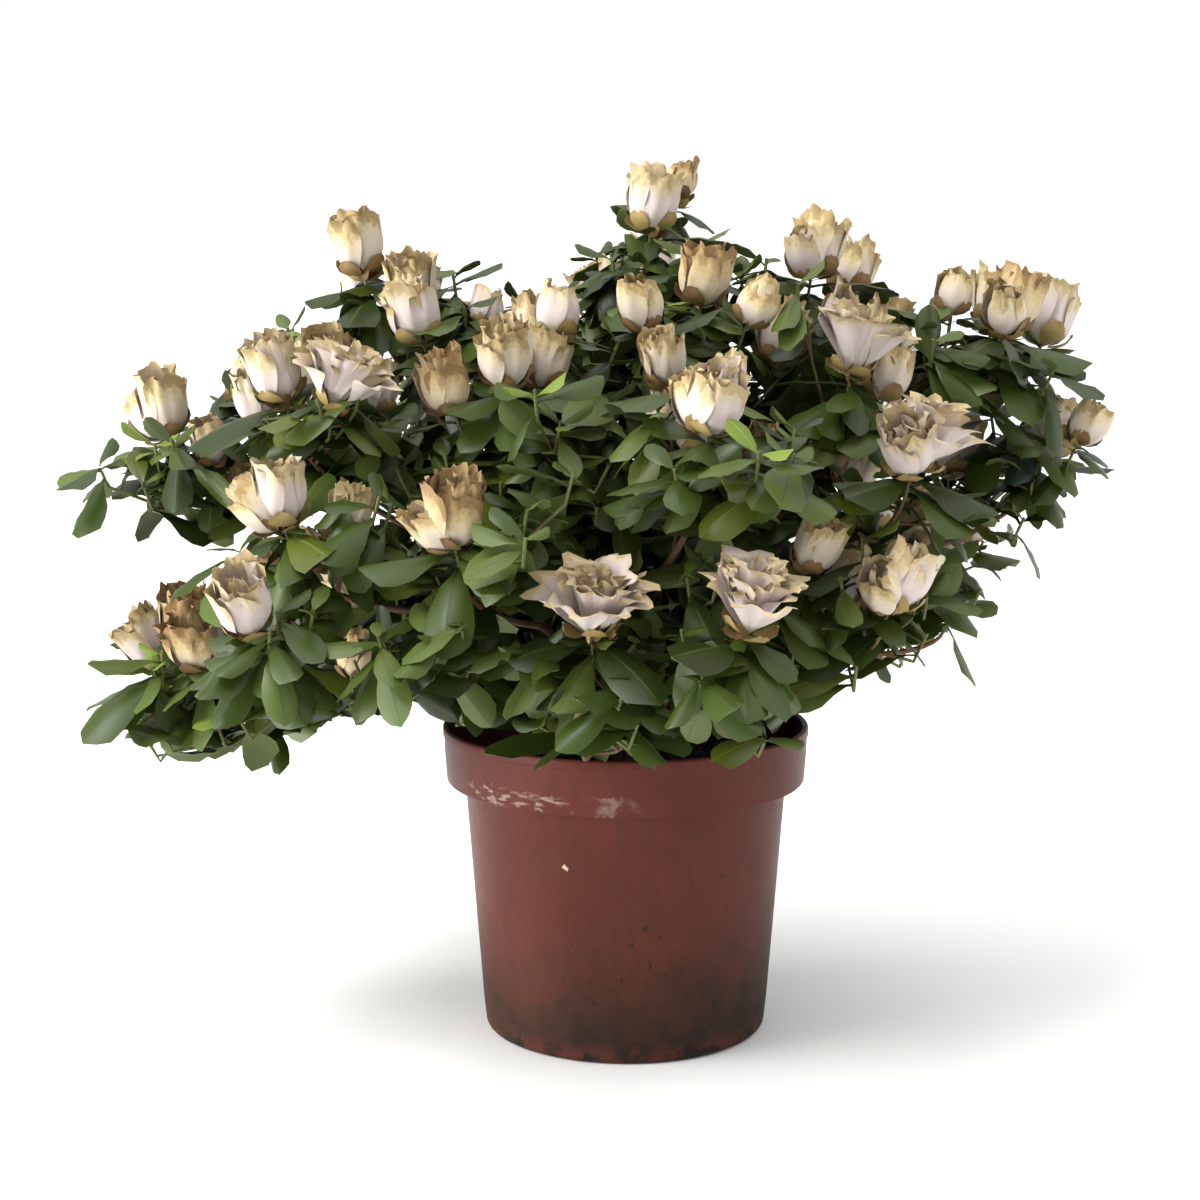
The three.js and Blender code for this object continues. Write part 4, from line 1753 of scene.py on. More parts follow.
def shaped(source: Piece) -> Mesh:
    """What an object's modifiers make of it, as a plain mesh."""
    graph = bpy.context.evaluated_depsgraph_get()
    return bpy.data.meshes.new_from_object(source.evaluated_get(graph), depsgraph=graph)


def store(mesh: Mesh, name: str, kind: str, domain: str, values: Iterable) -> None:
    """Stores an attribute on a mesh.

    Args:
        mesh: the mesh.
        name: the attribute's name.
        kind: its type.
        domain: POINT or FACE.
        values: one for each element.
    """
    held = mesh.attributes.new(name, kind, domain)
    key = "vector" if kind == "FLOAT_VECTOR" else "value"
    held.data.foreach_set(key, np.asarray(list(values)).ravel())


class Rule(Tree):
    """A Geometry Nodes tree in the making, with named sizes."""

    def __init__(self, name: str) -> None:
        """Starts a tree.

        Args:
            name: the tree's name.
        """
        super().__init__(bpy.data.node_groups.new(name, "GeometryNodeTree"))
        for way in ("INPUT", "OUTPUT"):
            self.tree.interface.new_socket("Geometry", in_out=way, socket_type="NodeSocketGeometry")
        self.entry = self.tree.nodes.new("NodeGroupInput")
        self.exit = self.tree.nodes.new("NodeGroupOutput")
        self.geometry = self.entry.outputs["Geometry"]

    def size(self, name: str, kind: str = "NodeSocketFloat") -> Socket:
        """Adds a named input to the tree."""
        self.tree.interface.new_socket(name, in_out="INPUT", socket_type=kind)
        return self.entry.outputs[name]

    def attribute(self, name: str, kind: str = "FLOAT_VECTOR") -> Socket:
        """Reads an attribute of the geometry."""
        return self.add("GeometryNodeInputNamedAttribute", {"Name": name}, data_type=kind).outputs[0]

    def equals(self, name: str, number: int) -> Socket:
        """True where a whole-number attribute has this value."""
        inputs = {2: self.attribute(name, "INT"), 3: number}
        return self.add("FunctionNodeCompare", inputs, data_type="INT", operation="EQUAL").outputs[0]

    def both(self, first: object, second: object) -> Socket:
        """True where both are."""
        return self.add("FunctionNodeBooleanMath", {0: first, 1: second}, operation="AND").outputs[0]

    def above(self, vector: object, height: float) -> Socket:
        """True where a vector's upward part is more than a height."""
        inputs = {0: self.add("ShaderNodeSeparateXYZ", {0: vector}).outputs[2], 1: height}
        return self.add("FunctionNodeCompare", inputs, operation="GREATER_THAN").outputs[0]

    def chance(self, kind: str, inputs: Mapping[str | int, object]) -> Socket:
        """A random value at each point, between two given with its seed."""
        outputs = self.add("FunctionNodeRandomValue", inputs, data_type=kind).outputs
        return outputs[("FLOAT_VECTOR", "FLOAT", "INT").index(kind)]

    def scaled(self, vector: object, factor: object) -> Socket:
        """A vector times a number."""
        return self.add("ShaderNodeVectorMath", {0: vector, 3: factor}, operation="SCALE").outputs[0]

    def step(self, kind: str, inputs: Mapping[str | int, object], **settings: object) -> None:
        """Passes the geometry through one more node.

        Args:
            kind: the node's type.
            inputs: its other inputs.
            settings: its own properties.
        """
        node = self.add(kind, inputs, **settings)
        self.give(node.inputs[0], self.geometry)
        self.geometry = node.outputs[0]

    def set_out(
        self,
        shapes: Iterable[Piece],
        which: object,
        turn: object,
        size: object,
    ) -> None:
        """Sets copies of shapes on the points.

        Args:
            shapes: the shapes, the last of them number 0.
            which: the number of the shape at each point.
            turn: its rotation.
            size: its scale.
        """
        join = self.add("GeometryNodeGeometryToInstance", {})
        for shape in shapes:
            held = self.add("GeometryNodeObjectInfo", {"Object": shape, "As Instance": False})
            self.tree.links.new(held.outputs["Geometry"], join.inputs[0])
        inputs = {"Instance": join.outputs[0], "Pick Instance": True, "Instance Index": which}
        self.step("GeometryNodeInstanceOnPoints", {**inputs, "Rotation": turn, "Scale": size})

    def dress(self, finish: object, where: object = True) -> None:
        """Sets a finish's material, all over or where a test is true."""
        self.step("GeometryNodeSetMaterial", {"Selection": where, "Material": finish.material()})

    def grow(self, source: Mesh, name: str, sizes: Mapping[str, object]) -> Piece:
        """Runs the tree on a mesh and keeps its result as a plain mesh.

        Args:
            source: what the tree works on.
            name: the new piece's name.
            sizes: the values of the named inputs.

        Returns:
            The new piece.
        """
        self.give(self.exit.inputs[0], self.geometry)
        held = shown(source.name, source)
        modifier = held.modifiers.new(self.tree.name, "NODES")
        modifier.node_group = self.tree
        for item in self.tree.interface.items_tree:
            if item.in_out == "INPUT" and item.name in sizes:
                modifier[item.identifier] = sizes[item.name]
        mesh = shaped(held)
        held.modifiers.remove(modifier)
        bpy.data.objects.remove(held)
        mesh.name = name
        return shown(name, mesh)


class Copy(NamedTuple):
    """One copy of a small shape: its foot, its long axis, the way it faces, its size, shape and tone.

    The foot and the size (its width, length and thickness) are in millimetres.
    """

    foot: Vec
    along: Vec
    face: Vec
    size: Triple
    shape: int
    tone: int


@dataclass
class Scatter:
    """Copies of small shapes, joined into one plain mesh.

    Each shape has a whole number called part on its faces, and there is a finish for each pair of a
    tone and a part.
    """

    shapes: Sequence[Piece]
    finishes: Mapping[tuple[int, int], Plain]

    def grow(self, name: str, copies: Sequence[Copy], scale: float = 1.0) -> Piece:
        """Makes the copies.

        Args:
            name: the new piece's name.
            copies: where they stand.
            scale: of every copy.

        Returns:
            The new piece.
        """
        feet, alongs, faces, sizes, shapes, tones = zip(*copies)
        source = new_mesh(f"{name}_feet", np.array(feet) * MM, ())
        vectors = {"along": alongs, "face": faces, "size": np.array(sizes) * MM}
        for key, values in vectors.items():
            store(source, key, "FLOAT_VECTOR", "POINT", values)
        store(source, "shape", "INT", "POINT", shapes)
        store(source, "tone", "INT", "POINT", tones)
        rule = Rule(f"{name}_rule")
        size = rule.scaled(rule.attribute("size"), rule.size("Scale"))
        axes = {0: rule.attribute("face"), 1: rule.attribute("along")}
        turn = rule.add("FunctionNodeAxesToRotation", axes, primary_axis="Z", secondary_axis="Y")
        # The last one linked comes first, so the shapes are linked from the last to the first.
        rule.set_out(reversed(self.shapes), rule.attribute("shape", "INT"), turn.outputs[0], size)
        rule.step("GeometryNodeRealizeInstances", {})
        for (tone, part), finish in self.finishes.items():
            rule.dress(finish, rule.both(rule.equals("tone", tone), rule.equals("part", part)))
        return rule.grow(source, name, {"Scale": scale})


# ------------------------------------------------------------------ the pieces


class LeafPart(IntEnum):
    """The parts of a leaf that differ in colour."""

    BLADE = 0
    RIB = 1
    UNDER = 2


def bell(controls: Sequence[float], share: float) -> float:
    """A smooth run through a few control values, as a Bezier curve makes it.

    Args:
        controls: the control values.
        share: where on the run, from 0 to 1.

    Returns:
        The value there.
    """
    degree = len(controls) - 1
    return sum(
        math.comb(degree, i) * (1 - share) ** (degree - i) * share**i * value
        for i, value in enumerate(controls)
    )


@dataclass(frozen=True)
class LeafShape:
    """A leaf one long and one wide: a rounded, drooping blade with a rib, closed by its underside."""

    droop: float
    roll: float
    twist: float
    rows: tuple[float, ...] = (0.0, 0.1, 0.26, 0.44, 0.62, 0.79, 0.92, 1.0)
    widths: tuple[float, ...] = (0.07, 0.14, 0.54, 0.86, 1.0, 0.9, 0.58, 0.06)
    columns: tuple[float, ...] = (-1.0, -0.56, -0.045, 0.045, 0.56, 1.0)
    rib_half: float = 0.1
    groove: float = 0.016
    quilting: float = 0.013
    thickness: float = 0.016
    pull: float = 0.25

    def build(self, name: str) -> Piece:
        """Makes the leaf.

        Args:
            name: the shape's name.

        Returns:
            The shape, which isn't part of the scene.
        """
        count = len(self.columns)
        points = [
            self.point(along, u * wide, i, abs(u) < self.rib_half)
            for i, (along, wide) in enumerate(zip(self.rows, self.widths))
            for u in self.columns
        ]
        # The underside has the rim's own points, and one row of its own under the rib.
        under = len(points)
        for i, along in enumerate(self.rows):
            rib = self.point(along, 0.0, i, True)
            points.append((rib[0], rib[1], rib[2] - self.thickness))
        faces = []
        parts = []
        for i in range(len(self.rows) - 1):
            low, high = i * count, (i + 1) * count
            for k in range(count - 1):
                faces.append((low + k, low + k + 1, high + k + 1, high + k))
                parts.append(LeafPart.RIB if k == count // 2 - 1 else LeafPart.BLADE)
            below, above = under + i, under + i + 1
            faces.append((low, high, above, below))
            faces.append((below, above, high + count - 1, low + count - 1))
            parts += [LeafPart.UNDER, LeafPart.UNDER]
        last = (len(self.rows) - 1) * count
        faces.append((*range(count - 1, -1, -1), under))
        faces.append((*range(last, last + count), under + len(self.rows) - 1))
        parts += [LeafPart.UNDER, LeafPart.UNDER]
        shape = shape_of(name, points, faces, parts)
        sharpen_rim(shape.data, parts, LeafPart.UNDER)
        return shape

    def point(self, along: float, across: float, row: int, in_groove: bool) -> Triple:
        """One point of the upper side.

        Args:
            along: its share of the length.
            across: its share of half the width, to either side.
            row: the number of its row.
            in_groove: whether it is on the rib.

        Returns:
            The point.
        """
        rise = -self.roll * across * across
        rise -= self.droop * along * along
        rise += self.twist * across * along
        rise += self.quilting * (-1) ** row * abs(across)
        if in_groove:
            rise -= self.groove * (1 - along)
        shorter = 1 - self.pull * self.droop * self.droop * along * along
        return (across / 2, along * shorter, rise)


def sharpen_rim(mesh: Mesh, parts: Sequence[int], under: int) -> None:
    """Keeps the shading of a leaf's two sides apart along its rim.

    Args:
        mesh: the leaf.
        parts: the part of each face.
        under: the part that the underside is.
    """
    sides: dict[tuple[int, int], set[bool]] = {}
    for face, part in zip(mesh.polygons, parts):
        for key in face.edge_keys:
            sides.setdefault(key, set()).add(part == under)
    store(mesh, "sharp_edge", "BOOLEAN", "EDGE", [len(sides[edge.key]) == 2 for edge in mesh.edges])


@dataclass
class Foliage:
    """All leaves, in three pieces from the left of the crown to its right."""

    droops: tuple[float, ...] = (0.08, 0.18, 0.3, 0.14, 0.24, 0.4)
    rolls: tuple[float, ...] = (0.1, 0.17, 0.06, 0.2, 0.04, 0.12)
    twists: tuple[float, ...] = (0.05, -0.06, 0.08, -0.03, -0.09, 0.03)
    middle: float = 45.0
    narrow: float = 0.87
    rib_roughness: float = 0.5
    seed: int = 71

    def finishes(self) -> dict[tuple[int, int], Plain]:
        """The finish for each tone and part of a leaf.

        Returns:
            The finishes.
        """
        found = {}
        for tone, green in LEAF_FINISH.items():
            name = tone.name.lower()
            blade = Plain(f"leaf_{name}", green.blade, green.roughness, green.specular)
            rib = Plain(f"leaf_rib_{name}", green.rib, self.rib_roughness, green.rib_specular)
            found[tone, LeafPart.BLADE] = blade
            found[tone, LeafPart.RIB] = rib
            found[tone, LeafPart.UNDER] = LEAF_UNDER_YOUNG if tone is LeafTone.YOUNG else LEAF_UNDER
        return found

    def build(self, crown: Crown) -> list[Piece]:
        """Makes the leaves.

        Args:
            crown: the grown crown.

        Returns:
            The pieces.
        """
        rows = zip(self.droops, self.rolls, self.twists)
        shapes = [LeafShape(*row).build(f"leaf_shape_{i}") for i, row in enumerate(rows)]
        copies: dict[str, list[Copy]] = {"leaves_left": [], "leaves_middle": [], "leaves_right": []}
        dice = Dice(self.seed)
        for shoot in crown.shoots + crown.twigs:
            side = "left" if shoot.tip[0] < 0 else "right"
            if abs(shoot.tip[0]) < self.middle:
                side = "middle"
            for leaf in shoot.leaves:
                size = (leaf.width * self.narrow, leaf.length, leaf.length)
                shape = dice.below(len(shapes))
                copy = Copy(leaf.root, leaf.direction, leaf.face, size, shape, leaf.tone)
                copies[f"leaves_{side}"].append(copy)
        scatter = Scatter(shapes, self.finishes())
        return [scatter.grow(name, held) for name, held in copies.items()]


FULL_ROWS = (0.0, 0.16, 0.32, 0.46, 0.59, 0.7, 0.8, 0.88, 0.95, 1.0)
INNER_ROWS = (0.3, 0.5, 0.66, 0.79, 0.9, 1.0)
SCALE_ROWS = (0.0, 0.28, 0.55, 0.8, 1.0)


@dataclass(frozen=True)
class Ripple:
    """A layer of soft noise over a petal: how fine it is across and along, its place and its depth."""

    across: float
    along: float
    layer: float
    depth: float = 1.0

    def at(self, u: float, row: float, shift: float) -> float:
        """Its value on the petal that lies at a shift in the noise."""
        return self.depth * noise.noise(Vector((self.across * u + shift, self.along * row, self.layer)))


RAGS = (Ripple(1.7, 0.0, 0.0, 1.2), Ripple(4.2, 5.0, 0.0, 0.55))
CRUMPLE = Ripple(2.6, 3.1, 7.0)
PUCKER = Ripple(6.0, 2.0, 11.0)
STREAKS = (Ripple(4.0, 1.2, 3.0, 0.12), Ripple(13.0, 1.6, 9.0, 0.07), Ripple(3.5, 5.0, 15.0, 0.14))


@dataclass(frozen=True)
class PetalShape:
    """One petal, as a patch of the flaring form that its ring of petals makes.

    Radii are shares of the blossom's radius, and heights of its length.
    """

    radii: tuple[float, ...]
    heights: tuple[float, ...]
    span: float
    spans: tuple[float, ...] = (0.4, 0.9, 1.15, 1.25, 1.08)
    frill: float = 0.06
    waves: float = 2.3
    ragged: float = 0.06
    rounded: float = 0.15
    lap: float = 0.07
    folds: float = 0.04
    rows: tuple[float, ...] = FULL_ROWS
    columns: int = 12
    lean: float = 0.12
    stain: float = 0.14
    rim_from: float = 0.35
    crease: float = 0.035
    dents: float = 0.03

    def build(self, name: str, seed: int) -> Piece:
        """Makes the petal.

        Args:
            name: the shape's name.
            seed: what its frills and its ragged rim follow.

        Returns:
            The shape, which isn't part of the scene.
        """
        dice = Dice(seed)
        phase = dice.between(0, 2 * math.pi)
        shift = dice.between(0, 100)
        tilt = dice.either(self.lean)
        stain = dice.between(-self.stain, self.stain)
        sides = [2 * k / self.columns - 1 for k in range(self.columns + 1)]
        points = [self.point(row, u, phase, shift, tilt) for row in self.rows for u in sides]
        faces = []
        parts = []
        for i, (low, high) in enumerate(zip(self.rows, self.rows[1:])):
            for k in range(self.columns):
                corner = i * len(sides) + k
                above = corner + len(sides)
                u = (2 * k + 1) / self.columns - 1
                # The diagonals of neighbours lean opposite ways, so that the colours meet in streaks.
                if (i + k) % 2:
                    faces += [(corner, corner + 1, above), (corner + 1, above + 1, above)]
                    third = 0.3 / self.columns
                else:
                    faces += [(corner, corner + 1, above + 1), (corner, above + 1, above)]
                    third = -0.3 / self.columns
                parts.append(self.grade(mix(low, high, 0.3), u - third, shift, stain))
                parts.append(self.grade(mix(low, high, 0.7), u + third, shift, stain))
        return shape_of(name, points, faces, parts)

    def point(self, row: float, u: float, phase: float, shift: float, tilt: float) -> Vec:
        """One point of the petal.

        Args:
            row: its share of the way from the foot to the rim.
            u: how far it is to a side, from -1 to 1.
            phase: where the waves of the rim start.
            shift: where in the noise the petal is.
            tilt: how far the rim turns round the blossom, in radians.

        Returns:
            The point.
        """
        rag = sum(layer.at(u, 1.0, shift) for layer in RAGS)
        reach = row * (1 - self.rounded * abs(u) ** 2.6 * row + self.ragged * rag * row * row * row)
        rim = max(0.0, (row - self.rim_from) / (1 - self.rim_from)) ** 2
        crumple = CRUMPLE.at(u, row, shift)
        pucker = PUCKER.at(u, row, shift)
        wave = math.sin(self.waves * math.pi * u + phase)
        fold = math.sin(2.6 * math.pi * u + 2.1 * phase + crumple)
        radius = bell(self.radii, reach)
        radius += self.frill * rim * (wave + 1.3 * crumple + 0.8 * pucker)
        radius += self.dents * crumple * row - self.crease * math.exp(-30 * u * u) * row
        radius += self.folds * min(1.0, 1.6 * row) * fold
        radius += self.lap * u * min(1.0, 2 * row)
        height = bell(self.heights, reach) + 0.35 * self.frill * rim * crumple
        angle = math.radians(self.span / 2) * u * bell(self.spans, row) + tilt * row
        return np.array((radius * math.sin(angle), height, radius * math.cos(angle)))

    @staticmethod
    def grade(middle: float, u: float, shift: float, stain: float) -> int:
        """The grade of colour of one face of the petal.

        Args:
            middle: its share of the way from the foot to the rim.
            u: how far it is to a side, from -1 to 1.
            shift: where in the noise the petal is.
            stain: how much further down this petal's rim colour reaches.

        Returns:
            The grade, from 0 at the foot.
        """
        streaks = sum(layer.at(u, middle, shift) for layer in STREAKS)
        share = middle + (0.1 * u * u + stain * middle + streaks) * min(1.0, 2.0 * middle)
        return max(0, min(GRADES - 1, int(share * GRADES)))


@dataclass(frozen=True)
class ScaleShape(PetalShape):
    """A pointed olive-brown scale that hugs a blossom's foot."""

    @staticmethod
    def grade(middle: float, u: float, shift: float, stain: float) -> int:
        """The colour of the scales, all over."""
        return SCALE_PART


@dataclass(frozen=True)
class PetalRing:
    """A ring of petals in a blossom: their shape, how many there are, and how far the ring is turned."""

    shape: PetalShape
    count: int
    turn: float
    wide: float = 1.0
    tall: float = 1.0


HUG = ScaleShape(
    radii=(0.24, 0.68, 1.0, 1.06, 1.0),
    heights=(0.0, 0.05, 0.14, 0.27, 0.4),
    span=72,
    spans=(0.6, 1.0, 1.15, 0.8, 0.3),
    frill=0.03,
    waves=1.0,
    ragged=0.03,
    rounded=0.0,
    lap=0.03,
    folds=0.02,
    rows=SCALE_ROWS,
    columns=4,
)
WRAP = PetalShape((0.3, 1.02, 1.26, 0.9, 0.66), (0.0, 0.16, 0.46, 0.78, 1.0), 124, frill=0.1, ragged=0.09)
WRAP_HEART = PetalShape(
    (0.2, 0.7, 0.95, 0.6, 0.5), (0.0, 0.2, 0.5, 0.8, 1.04), 130,
    frill=0.12, ragged=0.1, rows=INNER_ROWS,
)
CUP = PetalShape((0.24, 0.96, 1.12, 0.84, 1.0), (0.0, 0.16, 0.46, 0.76, 1.0), 98, frill=0.13, ragged=0.1)
THROAT = PetalShape(
    (0.2, 0.7, 0.9, 0.66, 0.74), (0.0, 0.2, 0.55, 0.85, 1.05), 104,
    frill=0.14, ragged=0.11, rows=INNER_ROWS,
)
HEART_PETAL = PetalShape(
    (0.1, 0.4, 0.55, 0.3, 0.3), (0.0, 0.25, 0.55, 0.85, 1.03), 130,
    frill=0.14, ragged=0.1, rows=INNER_ROWS,
)
OPEN_SPANS = (0.3, 0.8, 1.2, 1.4, 1.12)
FLARE = PetalShape(
    (0.1, 0.56, 0.86, 0.96, 1.26), (0.0, 0.38, 0.7, 0.98, 0.92), 86, OPEN_SPANS, 0.13, 2.0, 0.08, 0.16,
)
SPREAD = PetalShape(
    (0.1, 0.42, 0.66, 0.7, 0.94), (0.0, 0.4, 0.76, 1.0, 1.04), 92, OPEN_SPANS, 0.15, 2.4, 0.08, 0.16,
)
RUFFLE = PetalShape(
    (0.05, 0.3, 0.46, 0.4, 0.52), (0.0, 0.4, 0.78, 0.98, 1.08), 118,
    frill=0.19, waves=2.6, ragged=0.08, rows=INNER_ROWS,
)
PETALS = (HUG, WRAP, WRAP_HEART, CUP, THROAT, HEART_PETAL, FLARE, SPREAD, RUFFLE)
RINGS = {
    Form.BUD: (
        PetalRing(WRAP, 3, 0.0, 1.06),
        PetalRing(WRAP_HEART, 3, 60.0, 1.06),
        PetalRing(HUG, 4, 18.0, 1.12, 0.96),
    ),
    Form.GOBLET: (
        PetalRing(CUP, 5, 0.0, 0.84),
        PetalRing(THROAT, 4, 40.0, 0.84),
        PetalRing(HEART_PETAL, 2, 10.0, 0.84),
        PetalRing(HUG, 4, 18.0, 0.84, 0.86),
    ),
    Form.OPEN: (
        PetalRing(FLARE, 5, 0.0, 0.78, 1.06),
        PetalRing(SPREAD, 5, 36.0, 0.78, 1.06),
        PetalRing(RUFFLE, 4, 10.0, 0.78, 1.06),
        PetalRing(RUFFLE, 2, 50.0, 0.5, 1.06),
        PetalRing(HUG, 5, 18.0, 0.5, 0.72),
    ),
}


@dataclass
class Blossoms:
    """All blossoms with the scales round their feet, in two pieces: the crown's left and its right."""

    variants: int = 5
    small_buds: int = 2
    tilt: float = 0.1
    open_tilt: float = 0.26
    jitter: float = 0.16
    radii: Pair = (0.94, 1.05)
    lengths: Pair = (0.78, 1.06)
    ages: tuple[int, ...] = (0, 0, 0, 1, 1, 1, 2)
    open_ages: tuple[int, ...] = (0, 0, 0, 1)
    bud_lean: Pair = (38, 62)
    bud_length: Pair = (19.0, 26.0)
    bud_radius: Pair = (3.6, 5.0)
    bud_scales: int = 6
    bud_drop: float = 1.5
    shorter: float = 0.05
    seed: int = 23

    @staticmethod
    def finishes() -> dict[tuple[int, int], Plain]:
        """The finish for each tone and part of a petal."""
        rows = {tone: PETAL_FINISH[tone].grades() for tone in PetalTone}
        return {(tone, part): plain for tone, row in rows.items() for part, plain in enumerate(row)}

    def build(self, crown: Crown) -> list[Piece]:
        """Makes the blossoms.

        Args:
            crown: the grown crown.

        Returns:
            The pieces.
        """
        shapes = [
            petal.build(f"petal_shape_{i}_{k}", 100 * i + k + self.seed)
            for i, petal in enumerate(PETALS)
            for k in range(self.variants)
        ]
        copies: dict[str, list[Copy]] = {"blossoms_left": [], "blossoms_right": []}
        dice = Dice(self.seed)
        for shoot in crown.shoots + crown.twigs:
            held = copies["blossoms_left" if shoot.tip[0] < 0 else "blossoms_right"]
            for blossom in shoot.blossoms:
                held += self.petals_of(blossom, dice)
            if shoot.blossoms:
                held += self.small_buds_of(shoot, dice)
        scatter = Scatter(shapes, self.finishes())
        return [scatter.grow(name, held) for name, held in copies.items()]

    def petals_of(self, blossom: Blossom, dice: Dice) -> Iterator[Copy]:
        """The petals and the scales of one blossom.

        Args:
            blossom: the blossom.
            dice: a run of numbers.

        Returns:
            Each of them, one by one.
        """
        is_open = blossom.form is Form.OPEN
        ages = self.open_ages if is_open else self.ages
        tone = ages[dice.below(len(ages))]
        turn = dice.between(0, 2 * math.pi)
        for ring in RINGS[blossom.form]:
            for i in range(ring.count):
                angle = turn + math.radians(ring.turn) + 2 * math.pi * i / ring.count
                angle += dice.either(self.jitter)
                radius = blossom.radius * ring.wide * dice.between(*self.radii)
                size = (radius, blossom.length * ring.tall * dice.between(*self.lengths), radius)
                shape = PETALS.index(ring.shape) * self.variants + dice.below(self.variants)
                face = leaning(blossom.axis, math.pi / 2, angle)
                tilt = dice.either(self.open_tilt if is_open else self.tilt)
                along = unit(blossom.axis + face * tilt)
                yield Copy(blossom.foot, along, unit(face - along * (face @ along)), size, shape, tone)

    def small_buds_of(self, shoot: Shoot, dice: Dice) -> Iterator[Copy]:
        """The scales of the small brown buds beside a shoot's blossoms.

        Args:
            shoot: the shoot.
            dice: a run of numbers.

        Returns:
            Each of them, one by one.
        """
        for _ in range(dice.below(self.small_buds + 1)):
            lean = math.radians(dice.between(*self.bud_lean))
            axis = leaning(shoot.axis, lean, dice.between(0, 2 * math.pi))
            foot = shoot.tip - shoot.axis * self.bud_drop
            tall = dice.between(*self.bud_length)
            wide = dice.between(*self.bud_radius)
            tone = dice.below(2)
            for i in range(self.bud_scales):
                face = leaning(axis, math.pi / 2, i * GOLDEN)
                size = (wide, tall * (1 - self.shorter * i), wide)
                shape = PETALS.index(HUG) * self.variants + i % self.variants
                yield Copy(foot, axis, face, size, shape, tone)


@dataclass
class Lines:
    """Lines to be made into closed tubes with a rough skin. Millimetres."""

    points: list[Vec] = field(default_factory=list)
    edges: list[tuple[int, int]] = field(default_factory=list)
    radii: list[float] = field(default_factory=list)
    tones: list[int] = field(default_factory=list)

    def add(self, line: Iterable[Vec], radii: Iterable[float], tones: Iterable[int]) -> None:
        """Adds a line.

        Args:
            line: its points.
            radii: the tube's radius at each.
            tones: the tube's tone at each.
        """
        first = len(self.points)
        self.points += [point * MM for point in line]
        self.radii += [radius * MM for radius in radii]
        self.tones += tones
        self.edges += [(i, i + 1) for i in range(first, len(self.points) - 1)]

    def grow(
        self,
        name: str,
        finishes: Mapping[int, object],
        sides: int,
        relief: float,
        grain: float,
    ) -> Piece:
        """Makes the tubes.

        Args:
            name: the new piece's name.
            finishes: the finish for each tone.
            sides: how many sides a tube has.
            relief: the depth of its skin's roughness, in metres.
            grain: how fine that is, per metre.

        Returns:
            The new piece.
        """
        source = new_mesh(f"{name}_lines", self.points, (), self.edges)
        store(source, "thick", "FLOAT", "POINT", self.radii)
        store(source, "tone", "INT", "POINT", self.tones)
        rule = Rule(f"{name}_rule")
        round_sides = rule.size("Sides", "NodeSocketInt")
        depth = rule.size("Relief")
        rule.step("GeometryNodeMeshToCurve", {})
        circle = {"Resolution": round_sides, "Radius": 1.0}
        profile = rule.add("GeometryNodeCurvePrimitiveCircle", circle).outputs[0]
        skin = {"Profile Curve": profile, "Scale": rule.attribute("thick", "FLOAT"), "Fill Caps": True}
        rule.step("GeometryNodeCurveToMesh", skin)
        drawn_out = {0: rule.add("GeometryNodeInputPosition", {}).outputs[0], 1: (1, 1, 0.3)}
        spot = rule.add("ShaderNodeVectorMath", drawn_out, operation="MULTIPLY").outputs[0]
        bark = rule.add("ShaderNodeTexNoise", {"Vector": spot, "Scale": grain, "Detail": 3.0}).outputs[0]
        rise = rule.times(rule.times(rule.math("SUBTRACT", bark, 0.5), depth), 4.0)
        normal = rule.add("GeometryNodeInputNormal", {}).outputs[0]
        rule.step("GeometryNodeSetPosition", {"Offset": rule.scaled(normal, rise)})
        rule.step("GeometryNodeSetShadeSmooth", {"Shade Smooth": True})
        for tone, finish in finishes.items():
            rule.dress(finish, rule.equals("tone", tone) if len(finishes) > 1 else True)
        return rule.grow(source, name, {"Sides": sides, "Relief": relief})


@dataclass
class Twigs:
    """The stems of the masses, their side shoots and the finer twigs, as tubes along paths."""

    sides: int = 7
    steps: int = 9
    bearing: int = 8
    slim: float = 0.82
    taper: float = 1.2
    sink: float = 0.6
    woody_to: float = 0.3
    red_to: float = 0.75
    side_red_to: float = 0.4
    relief: float = 0.00012
    grain: float = 900.0

    def build(self, crown: Crown) -> Piece:
        """Makes the twigs.

        Args:
            crown: the grown crown.

        Returns:
            The piece.
        """
        lines = Lines()
        leaders = {id(shoot) for shoot in crown.shoots if shoot.radius == TWIG.stem_radius}
        for shoot in crown.shoots + crown.twigs:
            is_leader = id(shoot) in leaders
            line = self.leafy_part(shoot)
            line[0] -= unit(line[1] - line[0]) * (CLEAR if is_leader else self.sink)
            shares = [i / (len(line) - 1) for i in range(len(line))]
            thin = [min(1.0, share * self.taper) for share in shares]
            radii = [mix(shoot.radius, TWIG.tip_radius, share) * self.slim for share in thin]
            lines.add(line, radii, [self.tone(share, is_leader) for share in shares])
        return lines.grow("twigs", TWIG_FINISH, self.sides, self.relief, self.grain)

    def leafy_part(self, shoot: Shoot) -> Vec:
        """The line of a shoot, which ends at its topmost leaf where no blossom crowns it.

        Args:
            shoot: the shoot or twig.

        Returns:
            The points of the line.
        """
        line = np.vstack((shoot.path.row(self.steps), shoot.tip - shoot.axis * 5, shoot.tip))
        if shoot.blossoms or not shoot.leaves:
            return line
        nearest = [np.argmin(np.linalg.norm(line - leaf.root, axis=1)) for leaf in shoot.leaves]
        return line[: max(self.bearing, int(max(nearest)) + 1)]

    def tone(self, share: float, is_leader: bool) -> TwigTone:
        """How old the twig is at a share of its length.

        Args:
            share: the share of its length.
            is_leader: whether it is the stem of a mass.

        Returns:
            Its tone.
        """
        if is_leader and share < self.woody_to:
            return TwigTone.WOODY
        red_to = self.red_to if is_leader else self.side_red_to
        return TwigTone.RED if share < red_to else TwigTone.GREEN


